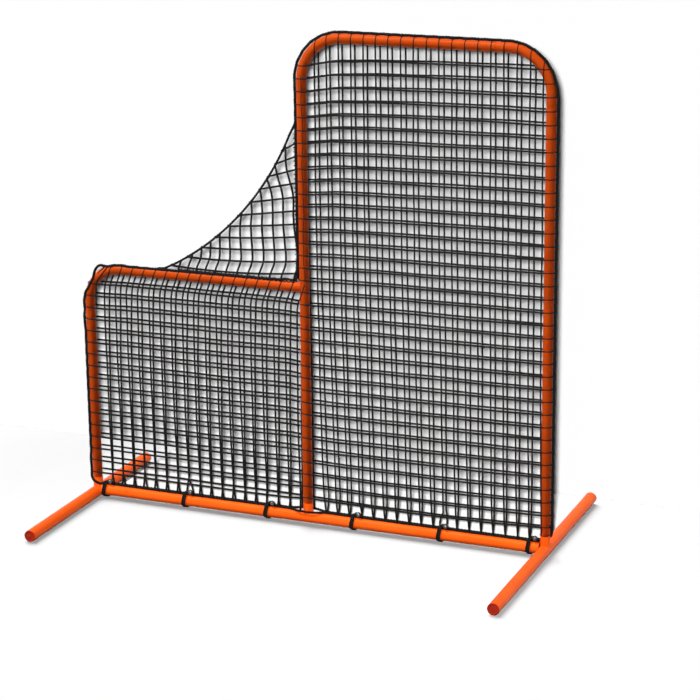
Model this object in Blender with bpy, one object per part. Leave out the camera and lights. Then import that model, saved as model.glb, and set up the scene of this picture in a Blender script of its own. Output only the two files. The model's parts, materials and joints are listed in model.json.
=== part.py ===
"""Baseball L screen: a tube frame on two floor tubes, a net slipped over it like a pillowcase, and ball ties.

X runs along the screen, Y through it with the front at -Y, and Z up. The origin is on the floor, midway
between the two outer posts, in the plane of the frame. The throwing notch is at the upper left.
"""

import math

import bmesh
import bpy
from mathutils import Matrix, Vector

# Overall sizes
screen_width = 2.134
screen_height = 2.134
tall_width = 1.111
low_height = 1.077
left_foot_front = 0.617
left_foot_rear = 0.466
right_foot_front = 0.668
right_foot_rear = 0.668

# Tubes
post_diameter = 0.0422
post_wall = 0.0016
base_diameter = 0.0508
base_wall = 0.002
seat_gap = 0.0003
taper_length = 0.008
slip_length = 0.055
tall_bend_radius = 0.18
low_bend_radius = 0.145
bend_leg = 0.05
socket_height = 0.039
spigot_length = 0.07
rail_lift = 0.007
mid_joint_height = 1.25
right_joint_height = 1.067
cope_reach = 0.011
rail_end_clearance = 0.002
tube_sides = 16
bend_steps = 7
overrun = 0.003

# End caps of the floor tubes
cap_thickness = 0.003
cap_chamfer = 0.001
plug_length = 0.016

# Snap buttons and their leaf springs
button_diameter = 0.0075
button_rise = 0.003
button_dome = 0.0012
button_hole_clearance = 0.0004
button_flange_diameter = 0.011
button_flange_thickness = 0.0012
button_sides = 12
leaf_width = 0.008
leaf_thickness = 0.0008
leaf_length = 0.036
leaf_pad = 0.006
leaf_fold_height = 0.005
button_from_end = 0.03

# Net
net_columns = 7
tall_rows = 14
low_rows = 7
web_pitch = 0.105
strand_width = 0.007
strand_thickness = 0.003
net_foot_clearance = 0.006
rope_diameter = 0.011
rope_bend_radius = 0.02
rope_bend_steps = 4
rope_spread = 0.08
web_reach = 0.61
web_rise = 0.665
web_sag = 0.08
web_steps = 12

# The bottom ropes part round the middle post's socket: shares along rope_spread, and of the way aside
spread_shares = ((-1, 0), (-0.7, 0.5), (-0.4, 1), (0.4, 1), (0.7, 0.5), (1, 0))

# Ties: as many in the bay on each side of the middle post, evenly spaced
ties_in_bay = 3
tie_inset = 0.054
tie_left_of_mid = 0.178
tie_right_of_mid = 0.225
tie_cord_diameter = 0.0055
tie_steps = 18
ball_diameter = 0.022
ball_offset = 0.0145
ball_angle = math.radians(120)
ball_segments = 12
ball_rings = 8

# Section of two cords side by side: shares of a cord's radius, across the tie and outward
band_section_shares = ((-1, 1), (-2, 0), (-1, -1), (1, -1), (2, 0), (1, 1))

# Edges sharper than this are drawn as edges
smooth_angle = math.radians(35)

# Worked out from the sizes above
post_radius = post_diameter / 2
base_radius = base_diameter / 2
rope_radius = rope_diameter / 2
post_slip = post_radius - post_wall - seat_gap
base_slip = base_radius - base_wall - seat_gap
flat_share = math.cos(math.pi / tube_sides)
right_x = screen_width / 2 - post_radius
left_x = -right_x
mid_x = screen_width / 2 - tall_width + post_radius
top_z = screen_height - post_radius
low_z = low_height - post_radius
foot_z = base_radius * flat_share
rail_z = foot_z + rail_lift
foot_crest = foot_z + base_radius
rail_crest = rail_z + base_radius
foot_socket_top = foot_crest + socket_height
rail_socket_top = rail_crest + socket_height

X = Vector((1, 0, 0))
Y = Vector((0, 1, 0))
Z = Vector((0, 0, 1))


def clear_scene():
    for obj in list(bpy.data.objects):
        bpy.data.objects.remove(obj, do_unlink=True)


def material(name, colour, roughness, metallic):
    made = bpy.data.materials.new(name)
    made.use_nodes = True
    shader = made.node_tree.nodes["Principled BSDF"]
    shader.inputs["Base Color"].default_value = (*colour, 1)
    shader.inputs["Roughness"].default_value = roughness
    shader.inputs["Metallic"].default_value = metallic
    return made


def add_object(name, data, finish):
    obj = bpy.data.objects.new(name, data)
    bpy.context.scene.collection.objects.link(obj)
    data.materials.append(finish)
    return obj


def add_mesh(name, bm, finish):
    """Closes a bmesh into a named object, facing out, round where it is round."""
    bmesh.ops.recalc_face_normals(bm, faces=bm.faces)
    mesh = bpy.data.meshes.new(name)
    bm.to_mesh(mesh)
    bm.free()
    mesh.shade_smooth()
    mesh.set_sharp_from_angle(angle=smooth_angle)
    return add_object(name, mesh, finish)


def as_helper(obj):
    """A cutter, or a shape that is joined into another piece."""
    obj.hide_render = True
    obj.display_type = "WIRE"
    return obj


def boolean(target, operand, operation):
    modifier = target.modifiers.new(f"{operation.lower()} {operand.name}", "BOOLEAN")
    modifier.operation = operation
    modifier.object = operand


def ring(bm, point, out, side, radius, sides):
    """A ring of points round a tube's axis, turned so that a flat facet faces each of out and side."""
    angles = [2 * math.pi * (k + 0.5) / sides for k in range(sides)]
    return [bm.verts.new(point + (out * math.cos(a) + side * math.sin(a)) * radius) for a in angles]


def bridge(bm, first, second):
    for k in range(len(first)):
        after = (k + 1) % len(first)
        bm.faces.new((first[k], first[after], second[after], second[k]))


def lofted_tube(name, stations, side, finish, sides=tube_sides):
    """An open tube through stations of (point, direction, outer radius, bore radius)."""
    bm = bmesh.new()
    outer = [ring(bm, p, d.cross(side), side, r, sides) for p, d, r, bore in stations]
    inner = [ring(bm, p, d.cross(side), side, bore, sides) for p, d, r, bore in stations]
    for skin in (outer, inner):
        for first, second in zip(skin, skin[1:]):
            bridge(bm, first, second)
    bridge(bm, outer[0], inner[0])
    bridge(bm, outer[-1], inner[-1])
    return add_mesh(name, bm, finish)


def rod(name, start, end, radius, side, finish, sides=tube_sides):
    """A solid round bar, used as a cutter."""
    bm = bmesh.new()
    direction = (end - start).normalized()
    first = ring(bm, start, direction.cross(side), side, radius, sides)
    second = ring(bm, end, direction.cross(side), side, radius, sides)
    bridge(bm, first, second)
    bm.faces.new(first)
    bm.faces.new(second)
    return as_helper(add_mesh(name, bm, finish))


def turned(name, profile, origin, axis, out, finish, sides):
    """A solid turned from (distance along the axis, radius) pairs, whose ends have radius zero."""
    bm = bmesh.new()
    side = axis.cross(out)
    ends = [bm.verts.new(axis * profile[k][0]) for k in (0, -1)]
    rings = [ring(bm, axis * along, out, side, radius, sides) for along, radius in profile[1:-1]]
    for first, second in zip(rings, rings[1:]):
        bridge(bm, first, second)
    for end, rim in zip(ends, (rings[0], rings[-1])):
        for k in range(sides):
            bm.faces.new((end, rim[k], rim[(k + 1) % sides]))
    obj = add_mesh(name, bm, finish)
    obj.location = origin
    return obj


def slip_end(shoulder, direction, length):
    """Stations of a swaged end: it slides into the next tube, whose rim stops at the shoulder."""
    bore = post_slip - post_wall
    return [
        (shoulder - direction * length, direction, post_slip, bore),
        (shoulder, direction, post_slip, bore),
        (shoulder + direction * taper_length, direction, post_radius, post_radius - post_wall),
    ]


def reversed_end(stations):
    return [(p, -d, r, bore) for p, d, r, bore in reversed(stations)]


def post_tube(name, start, end, finish, slip=0):
    """A straight frame tube. Where it has a slip length, its start is the shoulder of a swaged end."""
    direction = (end - start).normalized()
    bore = post_radius - post_wall
    head = [(start, direction, post_radius, bore)]
    if slip:
        head = slip_end(start, direction, slip)
    tail = [(end, direction, post_radius, bore)]
    return lofted_tube(name, head + tail, Y, finish)


def corner_bend(name, corner, before, after, radius, finish):
    """A quarter bend with a short straight leg and a swaged end each way."""
    bore = post_radius - post_wall
    centre = corner - before * radius + after * radius
    arc = []
    for step in range(bend_steps + 1):
        angle = math.pi / 2 * step / bend_steps
        point = centre + (before * math.sin(angle) - after * math.cos(angle)) * radius
        arc.append((point, before * math.cos(angle) + after * math.sin(angle), post_radius, bore))
    reach = radius + bend_leg
    head = slip_end(corner - before * reach, before, slip_length)
    tail = reversed_end(slip_end(corner + after * reach, -after, slip_length))
    return lofted_tube(name, head + arc + tail, Y, finish)


def weld_branch(trunk, name, start, end, radii, side, core, finish):
    """Welds a short tube to a trunk tube. Its root is coped to a core in the trunk: (point, axis, radius)."""
    outer, bore = radii
    direction = (end - start).normalized()
    stations = [(start, direction, outer, bore), (end, direction, outer, bore)]
    branch = as_helper(lofted_tube(name, stations, side, finish))
    point, axis, radius = core
    reach = axis * (outer + overrun)
    cope = rod(f"{name} cope", point - reach, point + reach, radius, direction, finish)
    boolean(branch, cope, "DIFFERENCE")
    boolean(trunk, branch, "UNION")


def drill(name, point, facing, radius, targets, finish):
    """A round hole through one side of a joint's two tubes, for the snap button."""
    across = X if abs(facing.dot(X)) < abs(facing.dot(Y)) + abs(facing.dot(Z)) else Y
    inside = facing * (button_flange_diameter / 2)
    outside = facing * (base_radius + overrun)
    hole = rod(name, point + inside, point + outside, radius, across, finish, button_sides)
    for target in targets:
        boolean(target, hole, "DIFFERENCE")


def snap_joint(name, point, along, facing, outer_radius, slip_radius, wall, targets, finishes):
    """A locking button and the folded leaf spring behind it, inside the inner tube of a slip joint."""
    steel, spring_steel = finishes
    radius = button_diameter / 2
    drill(f"{name} hole", point, facing, radius + button_hole_clearance, targets, steel)
    bore_flat = (slip_radius - wall) * flat_share
    flange_radius = button_flange_diameter / 2
    flange_top = math.sqrt(bore_flat**2 - flange_radius**2) - seat_gap
    flange_foot = flange_top - button_flange_thickness
    head = outer_radius + button_rise
    profile = [
        (flange_foot, 0),
        (flange_foot, flange_radius),
        (flange_top, flange_radius),
        (flange_top, radius),
        (head - button_dome, radius),
        (head, radius - button_dome),
        (head, 0),
    ]
    turned(f"{name}_snap_button", profile, point, facing, along, steel, button_sides)

    half_leaf = leaf_width / 2
    near = flange_foot - seat_gap - leaf_thickness / 2
    far = seat_gap + leaf_thickness / 2 - math.sqrt(bore_flat**2 - half_leaf**2)
    middle = (near + far) / 2
    fold = leaf_fold_height / 2
    centreline = [
        (-leaf_pad, near),
        (leaf_pad, near),
        (leaf_length - fold, middle + fold),
        (leaf_length, middle),
        (leaf_length - fold, middle - fold),
        (leaf_pad, far),
        (-leaf_pad, far),
    ]
    leaf_spring(f"{name}_snap_spring", centreline, point, along, facing, spring_steel)


def leaf_spring(name, centreline, point, along, facing, finish):
    """A bent strip, from its centreline in (along, facing), its thickness and its width."""
    points = [Vector(p) for p in centreline]
    edges = [(b - a).normalized() for a, b in zip(points, points[1:])]
    sides = ([], [])
    for k, point_here in enumerate(points):
        before = edges[max(k - 1, 0)]
        after = edges[min(k, len(edges) - 1)]
        bisector = Vector((-before.y - after.y, before.x + after.x)).normalized()
        half = leaf_thickness / 2 / bisector.dot(Vector((-before.y, before.x)))
        sides[0].append(point_here + bisector * half)
        sides[1].append(point_here - bisector * half)
    outline = sides[0] + sides[1][::-1]
    across = along.cross(facing) * leaf_width
    bm = bmesh.new()
    first = [bm.verts.new(point + along * p.x + facing * p.y - across / 2) for p in outline]
    face = bm.faces.new(first)
    pulled = bmesh.ops.extrude_face_region(bm, geom=[face])
    moved = [v for v in pulled["geom"] if isinstance(v, bmesh.types.BMVert)]
    bmesh.ops.translate(bm, verts=moved, vec=across)
    return add_mesh(name, bm, finish)


def floor_foot(name, x, front, rear, inner_side, finish):
    """A floor tube with the post's socket on top and the rail's spigot on its inner side."""
    axis = Vector((x, 0, foot_z))
    bore = base_radius - base_wall
    stations = [(axis - Y * front, Y, base_radius, bore), (axis + Y * rear, Y, base_radius, bore)]
    foot = lofted_tube(name, stations, X, finish)
    core = (axis, Y, base_radius - base_wall / 2)
    socket_top = Vector((x, 0, foot_socket_top))
    socket_radii = (post_radius, post_radius - post_wall)
    weld_branch(foot, f"{name} socket", axis, socket_top, socket_radii, Y, core, finish)
    spigot_root = Vector((x, 0, rail_z)) + inner_side * (post_radius + rail_end_clearance)
    spigot_end = Vector((x, 0, rail_z)) + inner_side * (base_radius + spigot_length)
    spigot_radii = (base_slip, base_slip - base_wall)
    weld_branch(foot, f"{name} spigot", spigot_root, spigot_end, spigot_radii, Y, core, finish)
    return foot


def end_cap(name, point, outward, finish):
    """A flanged plug: its disc covers the end of a floor tube, and its boss sits in the bore."""
    boss = base_radius - base_wall - seat_gap
    profile = [
        (-plug_length, 0),
        (-plug_length, boss - cap_chamfer),
        (cap_chamfer - plug_length, boss),
        (seat_gap, boss),
        (seat_gap, base_radius),
        (cap_thickness - cap_chamfer, base_radius),
        (cap_thickness, base_radius - cap_chamfer),
        (cap_thickness, 0),
    ]
    return turned(name, profile, point, outward, Z, finish, tube_sides)


def floor_rail(name, finish):
    """The floor rail, coped over both floor tubes, with the middle post's socket on top."""
    inset = post_radius + rail_end_clearance
    bore = base_radius - base_wall
    start = Vector((left_x + inset, 0, rail_z))
    end = Vector((right_x - inset, 0, rail_z))
    rail = lofted_tube(name, [(start, X, base_radius, bore), (end, X, base_radius, bore)], Y, finish)
    reach = Y * (base_radius + overrun)
    for label, x in (("left", left_x), ("right", right_x)):
        axis = Vector((x, 0, foot_z))
        cope = rod(f"{name} {label} cope", axis - reach, axis + reach, base_radius + seat_gap, X, finish)
        boolean(rail, cope, "DIFFERENCE")
    socket_root = Vector((mid_x, 0, rail_z))
    socket_top = Vector((mid_x, 0, rail_socket_top))
    core = (socket_root, X, base_radius - base_wall / 2)
    socket_radii = (post_radius, post_radius - post_wall)
    weld_branch(rail, f"{name} socket", socket_root, socket_top, socket_radii, Y, core, finish)
    return rail


def outer_post(name, x, crest, shoulder, top, finish):
    """A post whose swaged foot fills its socket."""
    start = Vector((x, 0, shoulder + seat_gap))
    return post_tube(name, start, Vector((x, 0, top)), finish, slip=shoulder - crest)


def frame(orange, snap_finishes):
    """All the tubes, from the floor up, and the snap buttons that lock the joints which carry load."""
    left_foot = floor_foot("left_foot", left_x, left_foot_front, left_foot_rear, X, orange)
    right_foot = floor_foot("right_foot", right_x, right_foot_front, right_foot_rear, -X, orange)
    rail = floor_rail("bottom_rail", orange)

    low_bend_foot = low_z - low_bend_radius - bend_leg
    tall_bend_foot = top_z - tall_bend_radius - bend_leg
    left_post = outer_post("left_post", left_x, foot_crest, foot_socket_top, low_bend_foot - seat_gap, orange)
    corner_bend("low_corner", Vector((left_x, 0, low_z)), Z, X, low_bend_radius, orange)

    bar_start = Vector((left_x + low_bend_radius + bend_leg + seat_gap, 0, low_z))
    low_bar = post_tube("low_bar", bar_start, Vector((mid_x - cope_reach, 0, low_z)), orange)
    reach = Z * (post_radius + overrun)
    bar_end = Vector((mid_x, 0, low_z))
    cope = rod("low_bar cope", bar_end - reach, bar_end + reach, post_radius + seat_gap, Y, orange)
    boolean(low_bar, cope, "DIFFERENCE")

    mid_post = outer_post("mid_post", mid_x, rail_crest, rail_socket_top, mid_joint_height, orange)
    spigot_end = bar_end - X * (post_radius + spigot_length)
    core = (bar_end, Z, post_radius - post_wall / 2)
    spigot_radii = (post_slip, post_slip - post_wall)
    weld_branch(mid_post, "mid_post spigot", bar_end, spigot_end, spigot_radii, Y, core, orange)

    mid_shoulder = Vector((mid_x, 0, mid_joint_height + seat_gap))
    mid_end = Vector((mid_x, 0, tall_bend_foot - seat_gap))
    post_tube("tall_left_post", mid_shoulder, mid_end, orange, slip=slip_length)
    corner_bend("top_left_corner", Vector((mid_x, 0, top_z)), Z, X, tall_bend_radius, orange)
    bend_reach = tall_bend_radius + bend_leg + seat_gap
    top_start = Vector((mid_x + bend_reach, 0, top_z))
    post_tube("top_bar", top_start, Vector((right_x - bend_reach, 0, top_z)), orange)
    corner_bend("top_right_corner", Vector((right_x, 0, top_z)), X, -Z, tall_bend_radius, orange)
    right_shoulder = Vector((right_x, 0, right_joint_height + seat_gap))
    right_end = Vector((right_x, 0, tall_bend_foot - seat_gap))
    post_tube("right_post_upper", right_shoulder, right_end, orange, slip=slip_length)
    right_post = outer_post(
        "right_post_lower", right_x, foot_crest, foot_socket_top, right_joint_height, orange
    )

    post_seat = (post_radius, post_slip, post_wall)
    base_seat = (base_radius, base_slip, base_wall)
    foot_spot_z = foot_crest + socket_height / 2
    rail_spot_z = rail_crest + socket_height / 2
    spots = [
        ("left_post", Vector((left_x, 0, foot_spot_z)), Z, Y, post_seat, (left_foot, left_post)),
        ("right_post", Vector((right_x, 0, foot_spot_z)), Z, Y, post_seat, (right_foot, right_post)),
        ("mid_post", Vector((mid_x, 0, rail_spot_z)), Z, Y, post_seat, (rail, mid_post)),
        ("low_bar", spigot_end + X * button_from_end, -X, -Z, post_seat, (low_bar, mid_post)),
    ]
    rail_ends = (("rail_left", left_x, X, left_foot), ("rail_right", right_x, -X, right_foot))
    for label, x, inner_side, foot in rail_ends:
        out = base_radius + spigot_length - button_from_end
        point = Vector((x, 0, rail_z)) + inner_side * out
        spots.append((label, point, inner_side, Y, base_seat, (rail, foot)))
    for label, point, along, facing, seat, targets in spots:
        snap_joint(label, point, along, facing, *seat, targets, snap_finishes)


def floor_caps(finish):
    for label, x, front, rear in (
        ("left", left_x, left_foot_front, left_foot_rear),
        ("right", right_x, right_foot_front, right_foot_rear),
    ):
        end_cap(f"{label}_foot_front_cap", Vector((x, -front, foot_z)), -Y, finish)
        end_cap(f"{label}_foot_rear_cap", Vector((x, rear, foot_z)), Y, finish)


def strand_edges(count, length):
    """Both edges of each strand, as shares of the length, with a strand along each border."""
    width_share = strand_width / length
    pitch_share = (1 - width_share) / count
    edges = []
    for k in range(count + 1):
        edges += [k * pitch_share, k * pitch_share + width_share]
    return edges


def net_sheet(name, columns, rows, width, height, place, finish):
    """A flat net: a lattice of strands with square gaps, laid out by place(u, v) and given its thickness."""
    bm = bmesh.new()
    across = strand_edges(columns, width)
    up = strand_edges(rows, height)
    grid = [[bm.verts.new(place(u, v)) for u in across] for v in up]
    for j in range(len(up) - 1):
        for i in range(len(across) - 1):
            if i % 2 and j % 2:
                continue
            bm.faces.new((grid[j][i], grid[j][i + 1], grid[j + 1][i + 1], grid[j + 1][i]))
    obj = add_mesh(name, bm, finish)
    thicken = obj.modifiers.new("strand thickness", "SOLIDIFY")
    thicken.thickness = strand_thickness
    thicken.offset = 0
    return obj


def draw_in(x, z, corner_x, corner_z, radius, sign):
    """Draws the square corner of a panel in to its round one, so that the strands bow there."""
    a = 1 + sign * (x - corner_x) / radius
    b = 1 + (z - corner_z) / radius
    if a <= 0 or b <= 0:
        return x, z
    new_a = a * math.sqrt(1 - b * b / 2)
    new_b = b * math.sqrt(1 - a * a / 2)
    return corner_x + sign * (new_a - 1) * radius, corner_z + (new_b - 1) * radius


def pillowcase(finish):
    """The two layers of the net, in front of the tubes and behind them, each in a tall and a low panel."""
    layer_y = post_radius + seat_gap + strand_thickness / 2
    foot = max(foot_socket_top, rail_socket_top) + net_foot_clearance
    left, right = left_x - post_radius, right_x + post_radius
    split = mid_x - post_radius
    tall_corner = tall_bend_radius + post_radius
    low_corner = low_bend_radius + post_radius
    tall_rise = screen_height - foot
    low_rise = low_height - foot
    for layer, y in (("front", -layer_y), ("rear", layer_y)):

        def tall(u, v, y=y):
            x, z = split + u * (right - split), foot + v * tall_rise
            x, z = draw_in(x, z, split, screen_height, tall_corner, -1)
            x, z = draw_in(x, z, right, screen_height, tall_corner, 1)
            return Vector((x, y, z))

        def low(u, v, y=y):
            edge = split - seat_gap
            x, z = left + u * (edge - left), foot + v * low_rise
            x, z = draw_in(x, z, left, low_height, low_corner, -1)
            return Vector((x, y, z))

        net_sheet(f"net_{layer}_tall", net_columns, tall_rows, right - split, tall_rise, tall, finish)
        net_sheet(f"net_{layer}_low", net_columns, low_rows, split - left, low_rise, low, finish)


def web_circle():
    """Centre and radius of the web's curved edge, and its two ends, on the centreline of the edge rope."""
    rope_step = rope_diameter + seat_gap
    foot = Vector((mid_x - post_radius - web_reach, 0, low_height + seat_gap + rope_step + rope_radius))
    head = Vector((mid_x - post_radius - seat_gap - rope_step - rope_radius, 0, low_height + web_rise))
    chord = head - foot
    radius = chord.length**2 / (8 * web_sag) + web_sag / 2
    away = Vector((-chord.z, 0, chord.x)).normalized()
    centre = (foot + head) / 2 + away * (radius - web_sag)
    return centre, radius, foot, head


def on_circle(centre, radius, foot, head, share):
    """The point a share of the way along the arc from foot to head, at another radius round its centre."""
    first, last = (foot - centre).normalized(), (head - centre).normalized()
    angle = math.acos(first.dot(last))
    turn = (first * math.sin((1 - share) * angle) + last * math.sin(share * angle)) / math.sin(angle)
    return centre + turn * radius


def plate(name, outline, thickness, finish):
    """A flat solid between -Y and +Y, from the points of its outline."""
    bm = bmesh.new()
    face = bm.faces.new([bm.verts.new(point - Y * thickness / 2) for point in outline])
    pulled = bmesh.ops.extrude_face_region(bm, geom=[face])
    moved = [v for v in pulled["geom"] if isinstance(v, bmesh.types.BMVert)]
    bmesh.ops.translate(bm, verts=moved, vec=Y * thickness)
    return add_mesh(name, bm, finish)


def web_outline(inset):
    """The web's edge, inset by a distance: two straight sides, a small round at the corner, and the arc."""
    centre, radius, rope_foot, rope_head = web_circle()
    half_step = math.asin((rope_head - rope_foot).length / 2 / radius) / web_steps
    edge_radius = (radius + rope_radius + seat_gap) / math.cos(half_step) + inset
    side_x = mid_x - post_radius - 2 * seat_gap - rope_diameter - inset
    side_z = low_height + 2 * seat_gap + rope_diameter + inset
    bend_inside = rope_bend_radius * math.cos(math.pi / 4 / rope_bend_steps) - rope_radius - seat_gap
    rounding = rope_bend_radius - rope_radius - bend_inside * math.sqrt(0.5)
    foot_x = centre.x + math.sqrt(edge_radius**2 - (centre.z - side_z) ** 2)
    head_z = centre.z - math.sqrt(edge_radius**2 - (side_x - centre.x) ** 2)
    foot, head = Vector((foot_x, 0, side_z)), Vector((side_x, 0, head_z))
    shares = [k / web_steps for k in range(web_steps + 1)]
    arc = [on_circle(centre, edge_radius, foot, head, share) for share in shares]
    corner = Vector((side_x - rounding, 0, side_z + rounding))
    beside = Vector((side_x - bend_inside, 0, side_z))
    above = Vector((side_x, 0, side_z + bend_inside))
    return arc + [above, corner, beside]


def web_net(finish):
    """The web: a net triangle between the low bar, the tall left post and the curved edge rope."""
    web = plate("net_web", web_outline(0), strand_thickness, finish)
    inner_outline = web_outline(strand_width)
    field = as_helper(plate("web field", inner_outline, strand_thickness + overrun, finish))
    low_corner = inner_outline[-2]
    gap = web_pitch - strand_width
    size = Matrix.Diagonal((gap, strand_thickness + 2 * overrun, gap, 1))
    bm = bmesh.new()
    for row in range(math.ceil(web_rise / web_pitch)):
        for column in range(math.ceil(web_reach / web_pitch)):
            centre = low_corner + (Z * (row + 0.5) - X * (column + 0.5)) * web_pitch
            bmesh.ops.create_cube(bm, size=1, matrix=Matrix.Translation(centre) @ size)
    gaps = as_helper(add_mesh("web gaps", bm, finish))
    boolean(gaps, field, "INTERSECT")
    boolean(web, gaps, "DIFFERENCE")


def rope(name, points, diameter, finish):
    curve = bpy.data.curves.new(name, "CURVE")
    curve.dimensions = "3D"
    curve.bevel_depth = diameter / 2
    curve.bevel_resolution = 2
    curve.use_fill_caps = True
    spline = curve.splines.new("POLY")
    spline.points.add(len(points) - 1)
    for spot, point in zip(spline.points, points):
        spot.co = (*point, 1)
    return add_object(name, curve, finish)


def turned_corner(corner, before, after, radius, steps):
    """Points round a square corner of a rope's route."""
    centre = corner - before * radius + after * radius
    angles = [math.pi / 2 * k / steps for k in range(steps + 1)]
    return [centre + (before * math.sin(a) - after * math.cos(a)) * radius for a in angles]


def ropes(finish):
    out = post_radius + seat_gap + rope_radius
    left, right = left_x - out, right_x + out
    low, top = low_z + out, top_z + out
    inner_x = mid_x - out
    foot = foot_socket_top
    border = [Vector((left, 0, foot))]
    border += turned_corner(Vector((left, 0, low)), Z, X, low_bend_radius + out, bend_steps)
    border += turned_corner(Vector((inner_x, 0, low)), X, Z, rope_bend_radius, rope_bend_steps)
    border += turned_corner(Vector((inner_x, 0, top)), Z, X, tall_bend_radius + out, bend_steps)
    border += turned_corner(Vector((right, 0, top)), X, -Z, tall_bend_radius + out, bend_steps)
    border.append(Vector((right, 0, foot)))
    rope("border_rope", border, rope_diameter, finish)

    circle = web_circle()
    shares = [k / web_steps for k in range(web_steps + 1)]
    edge = [on_circle(*circle, share) for share in shares]
    rope("web_rope", edge, rope_diameter, finish)

    beside = rope_radius + seat_gap / 2
    height = rail_z + rope_seat_height()
    start = left_x + post_radius + seat_gap + button_rise
    for layer, sign in (("front", -1), ("rear", 1)):
        points = [Vector((start, sign * beside, height))]
        for along_share, aside_share in spread_shares:
            aside = beside + (out - beside) * aside_share
            points.append(Vector((mid_x + along_share * rope_spread, sign * aside, height)))
        points.append(Vector((-start, sign * beside, height)))
        rope(f"bottom_rope_{layer}", points, rope_diameter, finish)


def rope_seat_height():
    """How far above the rail's axis the two bottom ropes lie, side by side on its crest."""
    beside = rope_radius + seat_gap / 2
    return math.sqrt((base_radius + rope_radius + seat_gap) ** 2 - beside**2)


def snug_loop(discs, clearance, half_cord, steps):
    """Centreline of the tightest cord round some discs of (y, z, radius), whose flats clear them."""
    points = []
    stretch = 1 / math.cos(math.pi / steps)
    for k in range(steps):
        angle = 2 * math.pi * k / steps
        normal = Vector((0, math.cos(angle), math.sin(angle)))
        y, z, radius = max(discs, key=lambda d: d[0] * normal.y + d[1] * normal.z + d[2])
        points.append((Vector((0, y, z)) + normal * ((radius + clearance) * stretch + half_cord), normal))
    return points


def ties(band_finish, ball_finish):
    """Each tie is a doubled elastic cord round the rail and both bottom ropes, and its ball."""
    beside = rope_radius + seat_gap / 2
    seat = rope_seat_height()
    discs = [(0, 0, base_radius), (-beside, seat, rope_radius), (beside, seat, rope_radius)]
    half_cord = tie_cord_diameter / 2
    loop = snug_loop(discs, seat_gap, half_cord, tie_steps)
    ball_radius = ball_diameter / 2
    lift = rope_radius + seat_gap + ball_radius
    ball_y = -beside + math.cos(ball_angle) * lift
    ball_z = seat + math.sin(ball_angle) * lift
    left_bay = (left_x + tie_inset, mid_x - tie_left_of_mid)
    right_bay = (mid_x + tie_right_of_mid, right_x - tie_inset)
    places = []
    for first, last in (left_bay, right_bay):
        pitch = (last - first) / (ties_in_bay - 1)
        places += [first + k * pitch for k in range(ties_in_bay)]
    for number, x in enumerate(places):
        centre = Vector((x, 0, rail_z))
        bm = bmesh.new()
        rings = []
        for point, normal in loop:
            section = []
            for along, rise in band_section_shares:
                section.append(bm.verts.new(centre + point + (X * along + normal * rise) * half_cord))
            rings.append(section)
        for first, second in zip(rings, rings[1:] + rings[:1]):
            bridge(bm, first, second)
        add_mesh(f"tie_band_{number + 1}", bm, band_finish)

        bm = bmesh.new()
        place = Matrix.Translation(centre + Vector((ball_offset, ball_y, ball_z)))
        bmesh.ops.create_uvsphere(
            bm, u_segments=ball_segments, v_segments=ball_rings, radius=ball_radius, matrix=place
        )
        add_mesh(f"tie_ball_{number + 1}", bm, ball_finish)


def main():
    clear_scene()
    orange = material("orange powder coat", (0.93, 0.16, 0.03), 0.35, 0)
    cap_orange = material("orange cap", (0.62, 0.07, 0.02), 0.5, 0)
    twine = material("black net twine", (0.012, 0.011, 0.011), 0.8, 0)
    cord = material("black rope", (0.01, 0.009, 0.009), 0.75, 0)
    elastic = material("black elastic", (0.012, 0.011, 0.011), 0.6, 0)
    ball = material("black ball", (0.008, 0.008, 0.008), 0.25, 0)
    zinc = material("zinc plated button", (0.6, 0.6, 0.58), 0.35, 1)
    spring_steel = material("spring steel", (0.35, 0.35, 0.36), 0.4, 1)
    frame(orange, (zinc, spring_steel))
    floor_caps(cap_orange)
    pillowcase(twine)
    web_net(twine)
    ropes(cord)
    ties(elastic, ball)


main()
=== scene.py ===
# %% [markdown]
# # A pitcher's L screen
# A pitcher stands behind this screen in batting practice and throws through the notch at its upper left.
# It is a steel tube frame on two floor tubes, with a black net slipped over it like a pillowcase. The
# measured model is loaded first, and every piece below is made over one of its parts.

# %% Load the measured model
import json
import math

import bpy
import numpy as np
from mathutils import Matrix, Vector

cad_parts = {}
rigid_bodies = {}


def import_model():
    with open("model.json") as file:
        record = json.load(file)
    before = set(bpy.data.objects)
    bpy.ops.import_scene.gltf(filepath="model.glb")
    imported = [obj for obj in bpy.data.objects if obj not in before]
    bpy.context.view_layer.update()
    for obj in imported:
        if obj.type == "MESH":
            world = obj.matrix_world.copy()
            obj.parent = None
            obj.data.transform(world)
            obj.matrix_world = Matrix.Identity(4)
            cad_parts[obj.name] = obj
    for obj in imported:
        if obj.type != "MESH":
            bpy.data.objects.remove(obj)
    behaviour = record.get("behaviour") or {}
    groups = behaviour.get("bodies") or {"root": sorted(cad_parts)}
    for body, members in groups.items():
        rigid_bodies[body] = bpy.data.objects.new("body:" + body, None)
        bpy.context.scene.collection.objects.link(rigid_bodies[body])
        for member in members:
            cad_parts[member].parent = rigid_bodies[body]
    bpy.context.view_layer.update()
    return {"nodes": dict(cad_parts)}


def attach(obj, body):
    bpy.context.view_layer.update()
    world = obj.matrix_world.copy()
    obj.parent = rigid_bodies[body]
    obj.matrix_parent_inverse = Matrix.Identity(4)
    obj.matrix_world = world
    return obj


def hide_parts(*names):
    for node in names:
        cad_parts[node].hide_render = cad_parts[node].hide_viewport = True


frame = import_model()

# %% [markdown]
# ## Sizes
# All lengths are in metres, with the screen along X, its front at -Y and Z up. They repeat the sizes
# that the measured model was drawn with, so that each new piece lands on its part.

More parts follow.
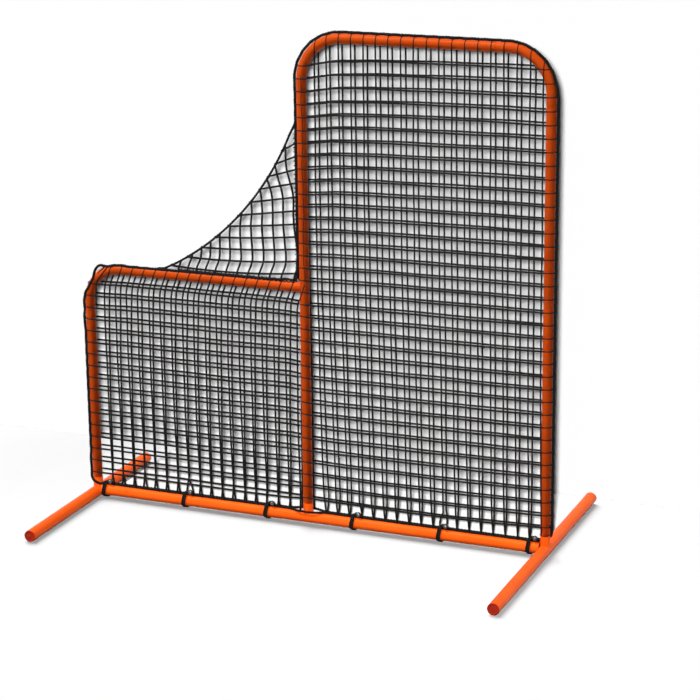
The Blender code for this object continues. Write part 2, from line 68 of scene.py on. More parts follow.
# %% Sizes of the frame
screen_width, screen_height, tall_width, low_height = 2.134, 2.134, 1.111, 1.077
post_radius, post_wall = 0.0211, 0.0016
base_radius, base_wall = 0.0254, 0.002
fit_gap = 0.0003
slip_radius = post_radius - post_wall - fit_gap
base_slip_radius = base_radius - base_wall - fit_gap
tall_bend, low_bend, bend_leg, slip_length, neck_length = 0.18, 0.145, 0.05, 0.055, 0.008
socket_height, spigot_reach, mid_split_z, right_split_z = 0.039, 0.07, 1.25, 1.067
right_x = screen_width / 2 - post_radius
left_x = -right_x
mid_x = screen_width / 2 - tall_width + post_radius
top_z = screen_height - post_radius
low_z = low_height - post_radius
foot_z = base_radius * math.cos(math.pi / 16)
rail_z = foot_z + 0.007
foot_socket_top = foot_z + base_radius + socket_height
rail_socket_top = rail_z + base_radius + socket_height
print("posts at x =", round(left_x, 4), round(mid_x, 4), round(right_x, 4))

# %% Sizes of the ropes and twine
rope_radius, border_radius = 0.0055, 0.0067
twine_radius, thin_share = 0.0039, 0.54
low_twine, web_twine = twine_radius * 1.08, twine_radius * 1.14
net_depth = post_radius + fit_gap + twine_radius * thin_share
rope_out = post_radius + fit_gap + rope_radius
border_out = post_radius + fit_gap + border_radius
rope_side = rope_radius + fit_gap / 2
rope_seat = math.sqrt((base_radius + rope_radius + fit_gap) ** 2 - rope_side**2)
rope_z = rail_z + rope_seat
print("the net lies", round(net_depth * 1000, 1), "mm in front of the posts' axes and as far behind")

# %% [markdown]
# ## Camera
# The photograph shows the screen from the front right, a little above it. This camera was fitted to the
# centrelines of the tubes: its place, turn, tilt and roll put them within a pixel of the photograph's.

# %% Camera
az, el, roll = (math.radians(angle) for angle in (22.3328, 16.5464, -0.6173))
aim = Vector((0.18, 0, 0.8035))
camera_distance, focal_pixels, picture_pixels = 9.6316, 2295.7525, 700
back = Vector((math.sin(az) * math.cos(el), -math.cos(az) * math.cos(el), math.sin(el)))
level_right = Vector((math.cos(az), math.sin(az), 0))
level_up = back.cross(level_right)
camera_right = level_right * math.cos(roll) + level_up * math.sin(roll)
camera_up = level_up * math.cos(roll) - level_right * math.sin(roll)
camera_place = aim + back * camera_distance

lens = bpy.data.cameras.new("camera")
lens.sensor_width = 36
lens.lens = focal_pixels * lens.sensor_width / picture_pixels
lens.clip_end = 200
camera = bpy.data.objects.new("camera", lens)
bpy.context.scene.collection.objects.link(camera)
turn = Matrix((camera_right, camera_up, back)).transposed().to_4x4()
camera.matrix_world = Matrix.Translation(camera_place) @ turn
bpy.context.scene.camera = camera
print("camera at", [round(value, 3) for value in camera_place])

# %% [markdown]
# ## Working by hand
# Each step below starts with nothing selected, because the loaded parts stay selected and an operator
# would act on them too. A finished piece sits at the origin with its place in its mesh.

# %% Helpers for modelling
def nothing_selected():
    if bpy.context.object and bpy.context.object.mode != "OBJECT":
        bpy.ops.object.mode_set(mode="OBJECT")
    bpy.ops.object.select_all(action="DESELECT")


def take(piece):
    """Makes a piece the only one that is selected and active."""
    nothing_selected()
    piece.select_set(True)
    bpy.context.view_layer.objects.active = piece
    return piece


def started(name):
    """Names the primitive that was just added and moves its place into its mesh."""
    piece = bpy.context.object
    piece.name = piece.data.name = name
    bpy.ops.object.transform_apply(location=True, rotation=True, scale=True)
    return piece


def apply_modifiers(piece):
    take(piece)
    for modifier in list(piece.modifiers):
        bpy.ops.object.modifier_apply(modifier=modifier.name)
    return piece


def cut(piece, cutter, operation="DIFFERENCE"):
    """Cuts a helper shape out of a piece, or joins it on, and clears the helper away."""
    modifier = piece.modifiers.new("cut", "BOOLEAN")
    modifier.operation = operation
    modifier.object = cutter
    modifier.solver = "EXACT"
    apply_modifiers(piece)
    bpy.data.objects.remove(cutter, do_unlink=True)
    return piece


def smooth(piece, degrees=35):
    take(piece)
    bpy.ops.object.shade_smooth_by_angle(angle=math.radians(degrees))
    return piece


# %% [markdown]
# ## Finishes
# Each finish is a small tree of nodes that feeds the main shader. The frame is powder coated: a thick
# baked coat with soft reflections. A slow noise shifts its colour a little, as a real coat varies, and a
# fine one gives its faint orange peel.

# %% Helpers for finishes
def feed(tree, node, inputs):
    """Gives each input a value, or links another node's output to it."""
    for key, value in inputs.items():
        if isinstance(value, bpy.types.NodeSocket):
            tree.links.new(value, node.inputs[key])
        else:
            node.inputs[key].default_value = value


def add(tree, kind, inputs, output=0, **settings):
    """Adds a shader node and returns one of its outputs."""
    node = tree.nodes.new("ShaderNode" + kind)
    for key, value in settings.items():
        setattr(node, key, value)
    feed(tree, node, inputs)
    return node.outputs[output]


def new_finish(name):
    """A new material, its tree and the place of each point."""
    made = bpy.data.materials.new(name)
    made.use_nodes = True
    return made, made.node_tree, add(made.node_tree, "TexCoord", {}, "Object")


def noise(tree, place, scale, detail=3):
    return add(tree, "TexNoise", {"Vector": place, "Scale": scale, "Detail": detail}, "Fac")


def ramp(tree, value, colours, positions=(0.3, 0.7)):
    """Spreads a noise between two colours."""
    node = tree.nodes.new("ShaderNodeValToRGB")
    for element, position, colour in zip(node.color_ramp.elements, positions, colours):
        element.position, element.color = position, (*colour, 1)
    tree.links.new(value, node.inputs["Fac"])
    return node.outputs["Color"]


def spread(tree, value, low, high):
    """Spreads a noise over a range of roughness."""
    reach = {"From Min": 0.3, "From Max": 0.7, "To Min": low, "To Max": high}
    return add(tree, "MapRange", {"Value": value, **reach}, "Result")


def give(tree, colour, roughness, grain, depth, strength, more):
    """Feeds the main shader its colour, roughness and bump, and what more there is."""
    bump = add(tree, "Bump", {"Height": grain, "Distance": depth, "Strength": strength}, "Normal")
    inputs = {"Base Color": colour, "Roughness": roughness, "Normal": bump, **more}
    feed(tree, tree.nodes["Principled BSDF"], inputs)


# %% Powder coat, caps and balls
def coat(name, colours, scales, roughness, depth, strength, more):
    """A smooth coat. The scales are those of the noises for colour, roughness and grain."""
    made, tree, place = new_finish(name)
    cloud, haze, grain = (noise(tree, place, scale, detail) for scale, detail in zip(scales, (3, 3, 2)))
    give(tree, ramp(tree, cloud, colours), spread(tree, haze, *roughness), grain, depth, strength, more)
    return made


orange = coat("orange powder coat", [(0.87, 0.092, 0.006), (0.94, 0.11, 0.009)], (9, 60, 420), (0.4, 0.5),
              0.0004, 0.3, {"Specular IOR Level": 0.2, "Specular Tint": (1, 0.5, 0.2, 1)})
# The caps are the frame's orange darkened: this paints in the shade on their end discs, which are the same
# orange as the tubes.
cap_orange_painted_shade = coat("orange cap with painted shade", [(0.62, 0.026, 0.005), (0.72, 0.034, 0.008)], (40, 150, 900),
                  (0.4, 0.55), 0.0003, 0.25, {"Specular IOR Level": 0.2})
ball_black = coat("glossy black ball", [(0.008, 0.008, 0.009), (0.016, 0.015, 0.016)], (120, 300, 700),
                  (0.12, 0.2), 0.0002, 0.15, {"Coat Weight": 0.3})
print("coats:", orange.name, cap_orange_painted_shade.name, ball_black.name)

# %% [markdown]
# The net and its ropes are black. Twine and rope are laid from twisted yarns, so slanting ridges run
# round them. Their colour follows the same ridges, darkest in the grooves and a little lighter on top, so
# it is never one flat black.

# %% Twine, rope and elastic
def yarn(name, colours, ridges, depth, roughness):
    made, tree, place = new_finish(name)
    lay = add(tree, "TexWave", {"Vector": place, "Scale": ridges, "Distortion": 1.2, "Detail": 2}, "Fac",
              bands_direction="DIAGONAL")
    rough = spread(tree, noise(tree, place, 200), roughness, roughness + 0.15)
    give(tree, ramp(tree, lay, colours, (0, 1)), rough, lay, depth, 0.6,
         {"Sheen Weight": 0.02, "Sheen Roughness": 0.5, "Specular IOR Level": 0.12})
    return made


twine_black = yarn("black net twine", [(0.008,) * 3, (0.025, 0.024, 0.024)], 180, 0.0006, 0.62)
rope_black = yarn("black rope", [(0.005,) * 3, (0.017, 0.016, 0.016)], 320, 0.0004, 0.66)
elastic_black = yarn("black elastic", [(0.004,) * 3, (0.016, 0.015, 0.016)], 420, 0.0004, 0.5)
print("blacks:", twine_black.name, rope_black.name, elastic_black.name)

# %% [markdown]
# The buttons are zinc plated and the leaf springs behind them are bare steel, drawn through rollers, so
# a stretched noise gives its fine lines.

# %% Metals
def steel(name, colours, roughness, stretch):
    made, tree, place = new_finish(name)
    grain = noise(tree, add(tree, "Mapping", {"Vector": place, "Scale": stretch}), 300)
    give(tree, ramp(tree, grain, colours), spread(tree, grain, *roughness), grain, 0.0001, 0.3,
         {"Metallic": 1})
    return made


zinc = steel("zinc plate", [(0.5, 0.5, 0.49), (0.68, 0.68, 0.65)], (0.28, 0.42), (1, 1, 1))
spring_steel = steel("spring steel", [(0.28, 0.28, 0.3), (0.42, 0.42, 0.43)], (0.3, 0.5), (1, 1, 12))
for name, node in frame["nodes"].items():
    if name.endswith("_snap_spring"):
        for place in node.material_slots:
            place.material = spring_steel
print("metals:", zinc.name, spring_steel.name)

# %% [markdown]
# ## Pulling a tube
# A tube could be a stretched cylinder, but real ones are drawn, swaged down at one end and bent on a
# former. So a ring is added at one end and pulled: extruded for a straight run, extruded and scaled for
# a neck, spun about a centre for a bend. Solidify then gives the wall its real thickness.

# %% Helpers that pull a ring along a route
X, Y, Z = Vector((1, 0, 0)), Vector((0, 1, 0)), Vector((0, 0, 1))
tube_sides, bend_steps = 40, 14


def pull(name, start, heading, radius, moves, sides=tube_sides, solid=False, wall=0):
    """A move is a run (length, new radius or 0) or a bend (angle, centre, axis)."""
    nothing_selected()
    bpy.ops.mesh.primitive_circle_add(
        vertices=sides, radius=radius, fill_type="NGON" if solid else "NOTHING", location=start,
        rotation=heading.to_track_quat("Z", "Y").to_euler())
    piece = started(name)
    at, heading = start.copy(), heading.copy()
    bpy.ops.object.mode_set(mode="EDIT")
    for amount, *extra in moves:
        if len(extra) == 2:
            centre, axis = extra
            bpy.ops.mesh.spin(steps=bend_steps, angle=-amount, center=centre, axis=axis)
            rolled = Matrix.Rotation(amount, 3, axis)
            at, heading = centre + rolled @ (at - centre), rolled @ heading
            continue
        bpy.ops.mesh.extrude_region_move(TRANSFORM_OT_translate={"value": heading * amount})
        at = at + heading * amount
        if extra[0]:
            bpy.ops.transform.resize(value=(extra[0] / radius,) * 3, center_override=at)
            radius = extra[0]
    bpy.ops.mesh.select_all(action="SELECT")
    bpy.ops.mesh.remove_doubles(threshold=0.00005)
    bpy.ops.mesh.normals_make_consistent(inside=False)
    bpy.ops.object.mode_set(mode="OBJECT")
    if wall:
        first = piece.data.polygons[0]
        if first.normal.dot(Vector(first.center) - start) < 0:
            piece.data.flip_normals()
        shell = piece.modifiers.new("wall", "SOLIDIFY")
        shell.thickness = wall
        shell.offset = -1
        shell.use_even_offset = True
        apply_modifiers(piece)
    return smooth(piece)


def straight(name, start, end, radius, **more):
    return pull(name, start, (end - start).normalized(), radius, [((end - start).length, 0)], **more)


def rod(start, end, radius, sides=tube_sides):
    """A solid cutter for copes and holes."""
    return straight("rod", start, end, radius, sides=sides, solid=True)


def dress(piece, finish, body="screen", node=None):
    """Gives a piece its finish and the body it rides on, and hides the measured part that it stands for."""
    piece.data.materials.clear()
    piece.data.materials.append(finish)
    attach(piece, body)
    if node:
        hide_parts(node)
    return piece


print("tubes have", tube_sides, "sides")

# %% [markdown]
# ## Posts, bars and bends
# Each frame tube slips into the next one. Its end is swaged down for 55 mm, and an 8 mm neck brings it
# back to full size, which shows as a fine line and a shoulder at each joint.

# %% Straight posts and the two bars
tall_bend_foot = top_z - tall_bend - bend_leg
low_bend_foot = low_z - low_bend - bend_leg
foot_crest, rail_crest = foot_z + base_radius, rail_z + base_radius
tubes = {}
for node, word, x, low, high, slip in (
        ("left_post", "left_post", left_x, foot_socket_top, low_bend_foot - fit_gap,
         foot_socket_top - foot_crest),
        ("mid_post", "middle_post", mid_x, rail_socket_top, mid_split_z, rail_socket_top - rail_crest),
        ("tall_left_post", "tall_left_post", mid_x, mid_split_z, tall_bend_foot - fit_gap, slip_length),
        ("right_post_lower", "right_post_lower", right_x, foot_socket_top, right_split_z,
         foot_socket_top - foot_crest),
        ("right_post_upper", "right_post_upper", right_x, right_split_z, tall_bend_foot - fit_gap,
         slip_length)):
    start, end = Vector((x, 0, low + fit_gap)), Vector((x, 0, high))
    up = (end - start).normalized()
    moves = [(slip, 0), (neck_length, post_radius), ((end - start).length - neck_length, 0)]
    tubes[node] = pull(f"{word}_tube", start - up * slip, up, slip_radius, moves, wall=post_wall)
for node, first, last, z in (
        ("top_bar", mid_x + tall_bend + bend_leg + fit_gap, right_x - tall_bend - bend_leg - fit_gap, top_z),
        ("low_bar", left_x + low_bend + bend_leg + fit_gap, mid_x - 0.011, low_z)):
    tubes[node] = straight(f"{node}_tube", Vector((first, 0, z)), Vector((last, 0, z)), post_radius,
                           wall=post_wall)
print(len(tubes), "straight tubes")

# %% The three bends, each with a short leg and a swaged end both ways
for node, name, x, z, before, after, radius in (
        ("low_corner", "low_corner_bend", left_x, low_z, Z, X, low_bend),
        ("top_left_corner", "top_left_bend", mid_x, top_z, Z, X, tall_bend),
        ("top_right_corner", "top_right_bend", right_x, top_z, X, -Z, tall_bend)):
    at = Vector((x, 0, z))
    start = at - before * (radius + bend_leg + slip_length)
    centre = at - before * radius + after * radius
    leg = (bend_leg - neck_length, 0)
    elbow = (math.pi / 2, centre, before.cross(after))
    moves = [(slip_length, 0), (neck_length, post_radius), leg, elbow, leg, (neck_length, slip_radius),
             (slip_length, 0)]
    tubes[node] = pull(name, start, before, slip_radius, moves, wall=post_wall)
print("bends:", [len(tubes[name].data.polygons) for name in ("low_corner", "top_left_corner")], "faces")

# %% [markdown]
# ## Floor tubes and their welded sockets
# Each foot is one floor tube with a short socket welded on its crest and a spigot on its inner side. A
# welder copes the branch, so that it sits on the trunk without entering it. Here a rod the size of the
# trunk's middle skin is cut from the branch, and the branch is then joined to the trunk.

# %% Feet and rail
cope_past = 0.003
base_core, post_core = base_radius - base_wall / 2, post_radius - post_wall / 2
rail_inset = post_radius + 0.002
feet = (("left", left_x, 0.617, 0.466, X), ("right", right_x, 0.668, 0.668, -X))


def weld_on(trunk, start, end, radius, wall, core, axis, core_radius):
    """Copes a branch to the trunk's middle skin, round an axis through core, and joins it on."""
    branch = straight("branch", start, end, radius, wall=wall)
    reach = axis * (radius + cope_past)
    cut(branch, rod(core - reach, core + reach, core_radius))
    return cut(trunk, branch, "UNION")


for side, x, front, rear, inner in feet:
    axis, level = Vector((x, 0, foot_z)), Vector((x, 0, rail_z))
    tube = straight(f"{side}_foot_tube", axis - Y * front, axis + Y * rear, base_radius, wall=base_wall)
    weld_on(tube, axis, Vector((x, 0, foot_socket_top)), post_radius, post_wall, axis, Y, base_core)
    weld_on(tube, level + inner * rail_inset, level + inner * (base_radius + spigot_reach),
            base_slip_radius, base_wall, axis, Y, base_core)
    tubes[f"{side}_foot"] = tube

rail = straight("bottom_rail_tube", Vector((left_x + rail_inset, 0, rail_z)),
                Vector((right_x - rail_inset, 0, rail_z)), base_radius, wall=base_wall)
for x in (left_x, right_x):
    axis, reach = Vector((x, 0, foot_z)), Y * (base_radius + cope_past)
    cut(rail, rod(axis - reach, axis + reach, base_radius + fit_gap))
root = Vector((mid_x, 0, rail_z))
weld_on(rail, root, Vector((mid_x, 0, rail_socket_top)), post_radius, post_wall, root, X, base_core)
tubes["bottom_rail"] = rail

bar_end, reach = Vector((mid_x, 0, low_z)), Z * (post_radius + cope_past)
cut(tubes["low_bar"], rod(bar_end - reach, bar_end + reach, post_radius + fit_gap))
weld_on(tubes["mid_post"], bar_end, bar_end - X * (post_radius + spigot_reach), slip_radius, post_wall,
        bar_end, Z, post_core)
print("welded:", [round(len(tubes[name].data.polygons)) for name in ("left_foot", "right_foot")], "faces")

# %% [markdown]
# ## Snap buttons
# A spring button locks each joint that carries load. Its hole goes through both tubes, and the button
# has a flange inside the bore and a domed head outside, so that a thumb can press it in.

# %% Holes and buttons
button_radius, flange_radius, flange = 0.00375, 0.0055, 0.0012
post_seat = (post_radius, slip_radius, post_wall)
base_seat = (base_radius, base_slip_radius, base_wall)
foot_lock_z, rail_lock_z = foot_crest + 0.0195, rail_crest + 0.0195
locks = [
    ("left_post", Vector((left_x, 0, foot_lock_z)), Y, post_seat, ("left_foot", "left_post")),
    ("right_post", Vector((right_x, 0, foot_lock_z)), Y, post_seat, ("right_foot", "right_post_lower")),
    ("mid_post", Vector((mid_x, 0, rail_lock_z)), Y, post_seat, ("bottom_rail", "mid_post")),
    ("low_bar", bar_end - X * (post_radius + spigot_reach - 0.03), -Z, post_seat, ("low_bar", "mid_post")),
    ("rail_left", Vector((left_x + base_radius + 0.04, 0, rail_z)), Y, base_seat,
     ("bottom_rail", "left_foot")),
    ("rail_right", Vector((right_x - base_radius - 0.04, 0, rail_z)), Y, base_seat,
     ("bottom_rail", "right_foot")),
]
for name, point, facing, (outer, slip, wall), pair in locks:
    for tube in pair:
        cut(tubes[tube], rod(point + facing * 0.006, point + facing * 0.03, button_radius + 0.0004, 24))
    bore = (slip - wall) * math.cos(math.pi / 16)
    flange_top = math.sqrt(bore**2 - flange_radius**2) - fit_gap
    stand = outer + 0.003 - flange - flange_top
    moves = [(flange, 0), (0.00001, button_radius), (stand, 0), (0.0006, button_radius * 0.93),
             (0.0004, button_radius * 0.72), (0.00018, button_radius * 0.35)]
    seat = point + facing * (flange_top - flange)
    button = pull(f"{name}_button_head", seat, facing, flange_radius, moves, 24, solid=True)
    dress(button, zinc, f"{name}_button", f"{name}_snap_button")

for node, tube in tubes.items():
    smooth(tube)
    dress(tube, orange, node=node)
print(len(locks), "buttons,", len(tubes), "tubes")

# %% [markdown]
# ## Weld beads
# Where a socket stands on a round tube, a bead of weld runs round its root and rises and falls with the
# saddle, with a ripple for the overlapping scales that a welder leaves. The beads here are no good
# model of that: their height leaves out the trunk's own, trunk_z, so they are flat and lie low, mostly
# inside the tubes. The joints look unwelded, and a thin edge of each bead sticks out of a flank.

# %% Beads round the three sockets
bead_reach = post_radius + 0.0006
for name, x, trunk_z, across in (
        ("left_socket_weld", left_x, foot_z, 0),
        ("right_socket_weld", right_x, foot_z, 0),
        ("middle_socket_weld", mid_x, rail_z, 1)):
    nothing_selected()
    bpy.ops.mesh.primitive_torus_add(major_radius=bead_reach, minor_radius=0.0022, major_segments=72,
                                     minor_segments=10, location=(x, 0, trunk_z))
    bead = started(name)
    for vertex in bead.data.vertices:
        offset = Vector((vertex.co.x - x, vertex.co.y, 0))
        spot = offset.normalized() * bead_reach
        saddle = math.sqrt(base_radius**2 - spot[across] ** 2)
        ripple = 1 + 0.16 * abs(math.sin(18 * math.atan2(offset.y, offset.x)))
        vertex.co = Vector((x, 0, 0)) + spot + (offset - spot) * ripple
        vertex.co.z = saddle + (ripple - 1) * 0.002
    dress(smooth(bead, 60), orange)
print("three weld beads")

# %% [markdown]
# ## End caps
# A moulded plug closes each end of the floor tubes. Its boss sits in the bore, and its disc has a
# rounded rim, a shallow dish and a raised middle, as moulded caps have.

# %% Caps
cap_moves = [(0.001, base_slip_radius), (0.0153, 0), (0.00001, base_radius - 0.0002), (0.0013, base_radius),
             (0.0008, base_radius - 0.0005), (0.0005, base_radius - 0.0016), (-0.0002, base_radius - 0.0042),
             (-0.0006, base_radius - 0.0052), (0, base_radius * 0.32), (0.0005, base_radius * 0.28),
             (0, base_radius * 0.1)]
for side, x, front, rear, _ in feet:
    for word, end_y, outward in (("front", -front, -Y), ("rear", rear, Y)):
        plug = pull(f"{side}_{word}_plug", Vector((x, end_y, foot_z)) - outward * 0.016, outward,
                    base_slip_radius - 0.001, cap_moves, 48, solid=True)
        dress(plug, cap_orange_painted_shade, node=f"{side}_foot_{word}_cap")
print("four caps")

# %% [markdown]
# ## Cords
# Twine, rope and elastic are round cords that follow a route. Each route becomes a spline of a curve
# with a round bevel, and the curve is then turned into a mesh, as one would do by hand.

# %% Helper that makes cords
def cords(name, routes, radius, resolution=1, closed=False):
    """Cords along routes. A point's fourth value, if it has one, is its share of the full radius."""
    curve = bpy.data.curves.new(name, "CURVE")
    curve.dimensions = "3D"
    curve.bevel_depth = radius
    curve.bevel_resolution = resolution
    curve.use_fill_caps = not closed
    for route in routes:
        points = np.asarray(route, float)
        spline = curve.splines.new("POLY")
        spline.points.add(len(points) - 1)
        spline.points.foreach_set("co", np.c_[points[:, :3], np.ones(len(points))].ravel())
        if points.shape[1] == 4:
            spline.points.foreach_set("radius", points[:, 3].copy())
        spline.use_cyclic_u = closed
        spline.use_smooth = True
    piece = bpy.data.objects.new(name, curve)
    bpy.context.scene.collection.objects.link(piece)
    take(piece)
    bpy.ops.object.convert(target="MESH")
    bpy.ops.object.mode_set(mode="EDIT")
    bpy.ops.mesh.select_all(action="SELECT")
    bpy.ops.mesh.remove_doubles(threshold=0.000001)
    bpy.ops.mesh.normals_make_consistent(inside=False)
    bpy.ops.object.mode_set(mode="OBJECT")
    return bpy.context.object


def joined(name, pieces):
    """Joins pieces into the first one."""
    take(pieces[0])
    for piece in pieces[1:]:
        piece.select_set(True)
    bpy.ops.object.join()
    pieces[0].name = pieces[0].data.name = name
    return pieces[0]


def repeated(name, model, places):
    """One mesh that holds a copy of a small model at each of many places (4x4 matrices)."""
    points = np.array([(*vertex.co, 1) for vertex in model.data.vertices])
    faces = [tuple(polygon.vertices) for polygon in model.data.polygons]
    count = len(points)
    placed = np.concatenate([points @ np.array(place).T for place in places])[:, :3]
    copied = [tuple(index + k * count for index in face) for k in range(len(places)) for face in faces]
    mesh = bpy.data.meshes.new(name)
    mesh.from_pydata(placed.tolist(), [], copied)
    mesh.shade_smooth()
    piece = bpy.data.objects.new(name, mesh)
    bpy.context.scene.collection.objects.link(piece)
    return piece


def ease(value):
    value = np.clip(value, 0, 1)
    return value * value * (3 - 2 * value)


# %% [markdown]
# ## The net's surface
# The net is a pillowcase: one layer passes in front of the tubes and one behind, and both are drawn
# round the outer tubes to the border rope. So a strand lies flat across a panel, and where it is past
# a tube's centreline it follows the tube round. The function below gives how far past it is.

# %% How far a point is past the frame's centreline
def past_tall(x, z):
    reach = tall_bend
    if z > top_z - reach and (x < mid_x + reach or x > right_x - reach):
        corner_x = mid_x + reach if x < mid_x + reach else right_x - reach
        return math.hypot(x - corner_x, z - top_z + reach) - reach
    return max(mid_x - x, x - right_x, z - top_z)


def past_low(x, z):
    if x < left_x + low_bend and z > low_z - low_bend:
        return math.hypot(x - left_x - low_bend, z - low_z + low_bend) - low_bend
    return max(left_x - x, z - low_z)


def depth_at(past, x, z, side):
    beyond = min(max(past(x, z), 0), net_depth)
    return side * math.sqrt(net_depth**2 - beyond**2)


def crossing(past, line, inside, outside, target):
    """Where along its line a strand gets to a given distance past the centreline."""
    for _ in range(30):
        middle = (inside + outside) / 2
        if past(*line(middle)) < target:
            inside = middle
        else:
            outside = middle
    return inside


def wrap_stations(past, line, inside, outside):
    """Stations short of the tube, and then at even angles round it to the border rope."""
    round_tube = [net_depth * math.sin(math.radians(angle)) for angle in (4, 22, 40, 57, 73, 88)]
    reaches = [-0.018, -0.006] + round_tube
    return [crossing(past, line, inside, outside, reach) for reach in reaches]


def thinned(past, x, z):
    """A strand's share of its full thickness: it is drawn thin where it is pulled over a tube."""
    clear = min(max(-past(x, z), 0), abs(x - mid_x))
    return thin_share + (1 - thin_share) * float(ease((clear - 0.006) / 0.012))


# %% [markdown]
# ## The mesh
# The mesh is a square one of about 55 mm. In use its lines wander: the rows droop beside the tall left
# post, the low panel's columns lean under the low bar, and the rear layer hangs off the front one. The
# tables give those slow drifts in millimetres at a few marks, so both layers stay one regular mesh.

# %% Rows and columns of both layers
chance = np.random.default_rng(11)
row_count, low_row_count = 36, 17
row_phase = chance.uniform(0, 2 * math.pi, (2, row_count, 2))
column_phase = chance.uniform(0, 2 * math.pi, (2, 40, 2))
column_wander = chance.uniform(-0.004, 0.004, (2, 40))


def drift(table, places, marks, place, mark):
    """Reads a drift in metres from a table in millimetres, whose lines stand at places."""
    along = [np.interp(mark, marks, line) for line in table]
    return float(np.interp(place, places, along)) / 1000


tall_rows, tall_row_marks = (0, 4, 8, 14, 20, 26, 32, 36), (0, 0.12, 0.3, 0.6, 0.85, 1.03)
tall_row_drift = [
    [(13, 11, 9, 9, 13, 19), (12, 10, 11, 13, 16, 20), (8, 8, 10, 12, 15, 18), (4, 5, 7, 8, 10, 14),
     (-6, 0, 4, 8, 10, 12), (-18, -4, 2, 8, 12, 12), (-24, -4, 4, 10, 13, 12), (-28, -2, 8, 14, 16, 14)],
    [(5, 1, -1, 0, 5, 11), (7, 5, 5, 7, 9, 12), (7, 5, 6, 8, 10, 11), (2, 3, 4, 5, 6, 9),
     (-6, -1, 2, 5, 7, 8), (-17, -4, 2, 7, 10, 10), (-25, -7, 2, 11, 15, 15), (-30, -7, 6, 16, 20, 20)],
]
tall_columns, tall_column_marks = (19, 25, 31, 37), (0.12, 0.5, 1.0, 1.5, 2.05)
tall_column_drift = [
    [(13, 4, -3, -5, -4), (15, 6, -3, -8, -8), (14, 5, -3, -7, -9), (9, 2, -3, -5, -6)],
    [(14, 3, -4, -7, -7), (13, 8, 0, -4, -6), (9, 8, 4, 0, -3), (5, 5, 4, 2, -1)],
]
low_columns, low_column_marks = (0, 6, 12, 17), (0.12, 0.4, 0.7, 0.9, 1.0)
low_column_drift = [
    [(3, -1, -3, -1, 1), (6, 1, -2, 0, 2), (7, 1, -2, 0, 2), (4, 0, 0, 2, 3)],
    [(-21, -18, -12, -4, 2), (-15, -13, -9, -1, 5), (-11, -9, -4, 3, 7), (-9, -5, 0, 6, 8)],
]


def row_height(layer, row, x):
    tall = 0.112 + 0.0546 * row + drift(tall_row_drift[layer], tall_rows, tall_row_marks, row, x)
    low = 0.112 + 0.0551 * row + np.interp(row, (0, 4, 7, 10, 13, 16), (6, 11, 12, 9, 3, -1)) / 1000
    low -= 0.004 * ease((-0.05 - x) / 0.4) * math.sin(math.pi * min(row, 16) / 16) - 0.002 * layer
    low -= 0.005 * ease((-0.85 - x) / 0.15) * ease((row - 8) / 8)
    share = ease((x + 0.12) / 0.12) if row < 17 else 1
    first, second = row_phase[layer][row]
    wander = 0.0007 * math.sin(7 * x + first) + 0.0006 * math.sin(17 * x + second)
    return float(low + (tall - low) * share + wander)


def column_place(layer, column, z):
    if column <= 17:
        base = -0.962 + 0.05353 * column
        base += drift(low_column_drift[layer], low_columns, low_column_marks, column, z)
        base += float(np.interp(z, (0.955, 0.985, 1.035, 1.08), (0, 0.002, 0.022, 0.036)))
    elif column == 18:
        base = -0.006 - 0.006 * ease((z - 1.0) / 0.15)
    else:
        base = 0.050 + 0.0542 * (column - 19)
        base += drift(tall_column_drift[layer], tall_columns, tall_column_marks, column, z)
    if layer:
        base += 0.4 * column_wander[1][column]
    first, second = column_phase[layer][column]
    return float(base + 0.0009 * math.sin(6 * z + first) + 0.0006 * math.sin(15 * z + second))


print(row_count, "rows and 38 columns in each layer")

# %% [markdown]
# ## Where the ties sit
# Six ball ties hold the net's foot to the rail. Strands that would run into a ball or a loop step
# aside at their foot, as they do on the real net.

# %% Places of the ties
tie_places = []
for first, last in ((left_x + 0.054, mid_x - 0.178), (mid_x + 0.225, right_x - 0.054)):
    tie_places += [first + (last - first) * k / 2 for k in range(3)]
ball_side, ball_radius = 0.0145, 0.011


def step_aside(x, side):
    """Moves a strand's foot clear of the loops and balls."""
    for tie in tie_places:
        blocked = [(tie, 0.0125)] + ([(tie + ball_side, 0.0145)] if side < 0 else [])
        low = min(centre - half for centre, half in blocked)
        high = max(centre + half for centre, half in blocked)
        if low < x < high:
            x = low if x - low < high - x else high
    return x


def rope_aside(x):
    """How far the bottom ropes lie from the rail's middle plane: they part round the middle socket."""
    away = abs(x - mid_x) / 0.08
    asides = (rope_out, rope_out, (rope_out + rope_side) / 2, rope_side)
    return float(np.interp(away, (0, 0.4, 0.7, 1), asides))


print("ties at x =", [round(place, 3) for place in tie_places])

# %% [markdown]
# ## Panels
# A panel's strands are made as cords along the rows and columns. At each crossing sits a knot, which is
# modelled once as a small tight turn of twine and copied.

# %% The knot
def coil(name, radius, thickness, segments, sides, stretch, turns):
    """A tight turn of twine: a torus, stretched along its axis and then turned."""
    nothing_selected()
    bpy.ops.mesh.primitive_torus_add(major_radius=radius, minor_radius=thickness, major_segments=segments,
                                     minor_segments=sides)
    piece = started(name)
    bpy.ops.object.mode_set(mode="EDIT")
    bpy.ops.transform.resize(value=(1, 1, stretch), center_override=(0, 0, 0))
    for axis, degrees in turns:
        bpy.ops.transform.rotate(value=math.radians(degrees), orient_axis=axis, center_override=(0, 0, 0))
    bpy.ops.object.mode_set(mode="OBJECT")
    return piece


def knot_at(x, y, z):
    """A knot's place, with a lean of its own."""
    return Matrix.Translation((x, y, z)) @ Matrix.Rotation(chance.uniform(-0.5, 0.5), 4, "Y")


knot_model = coil("knot_model", 0.0037, 0.0023, 8, 5, 1.25, (("X", 52), ("Z", 38)))
print("a knot has", len(knot_model.data.polygons), "faces")

# %% Strands of one panel
clear, net_foot, hold_z = 0.004, 0.14, rope_z + 0.008


def on_surface(past, side, x, z):
    return x, depth_at(past, x, z, side), z, thinned(past, x, z)


def with_middles(first, between, last):
    """The stations between two ends, and one in the middle of each gap."""
    return between + [(a + b) / 2 for a, b in zip([first] + between, between + [last]) if b - a > 0.02]


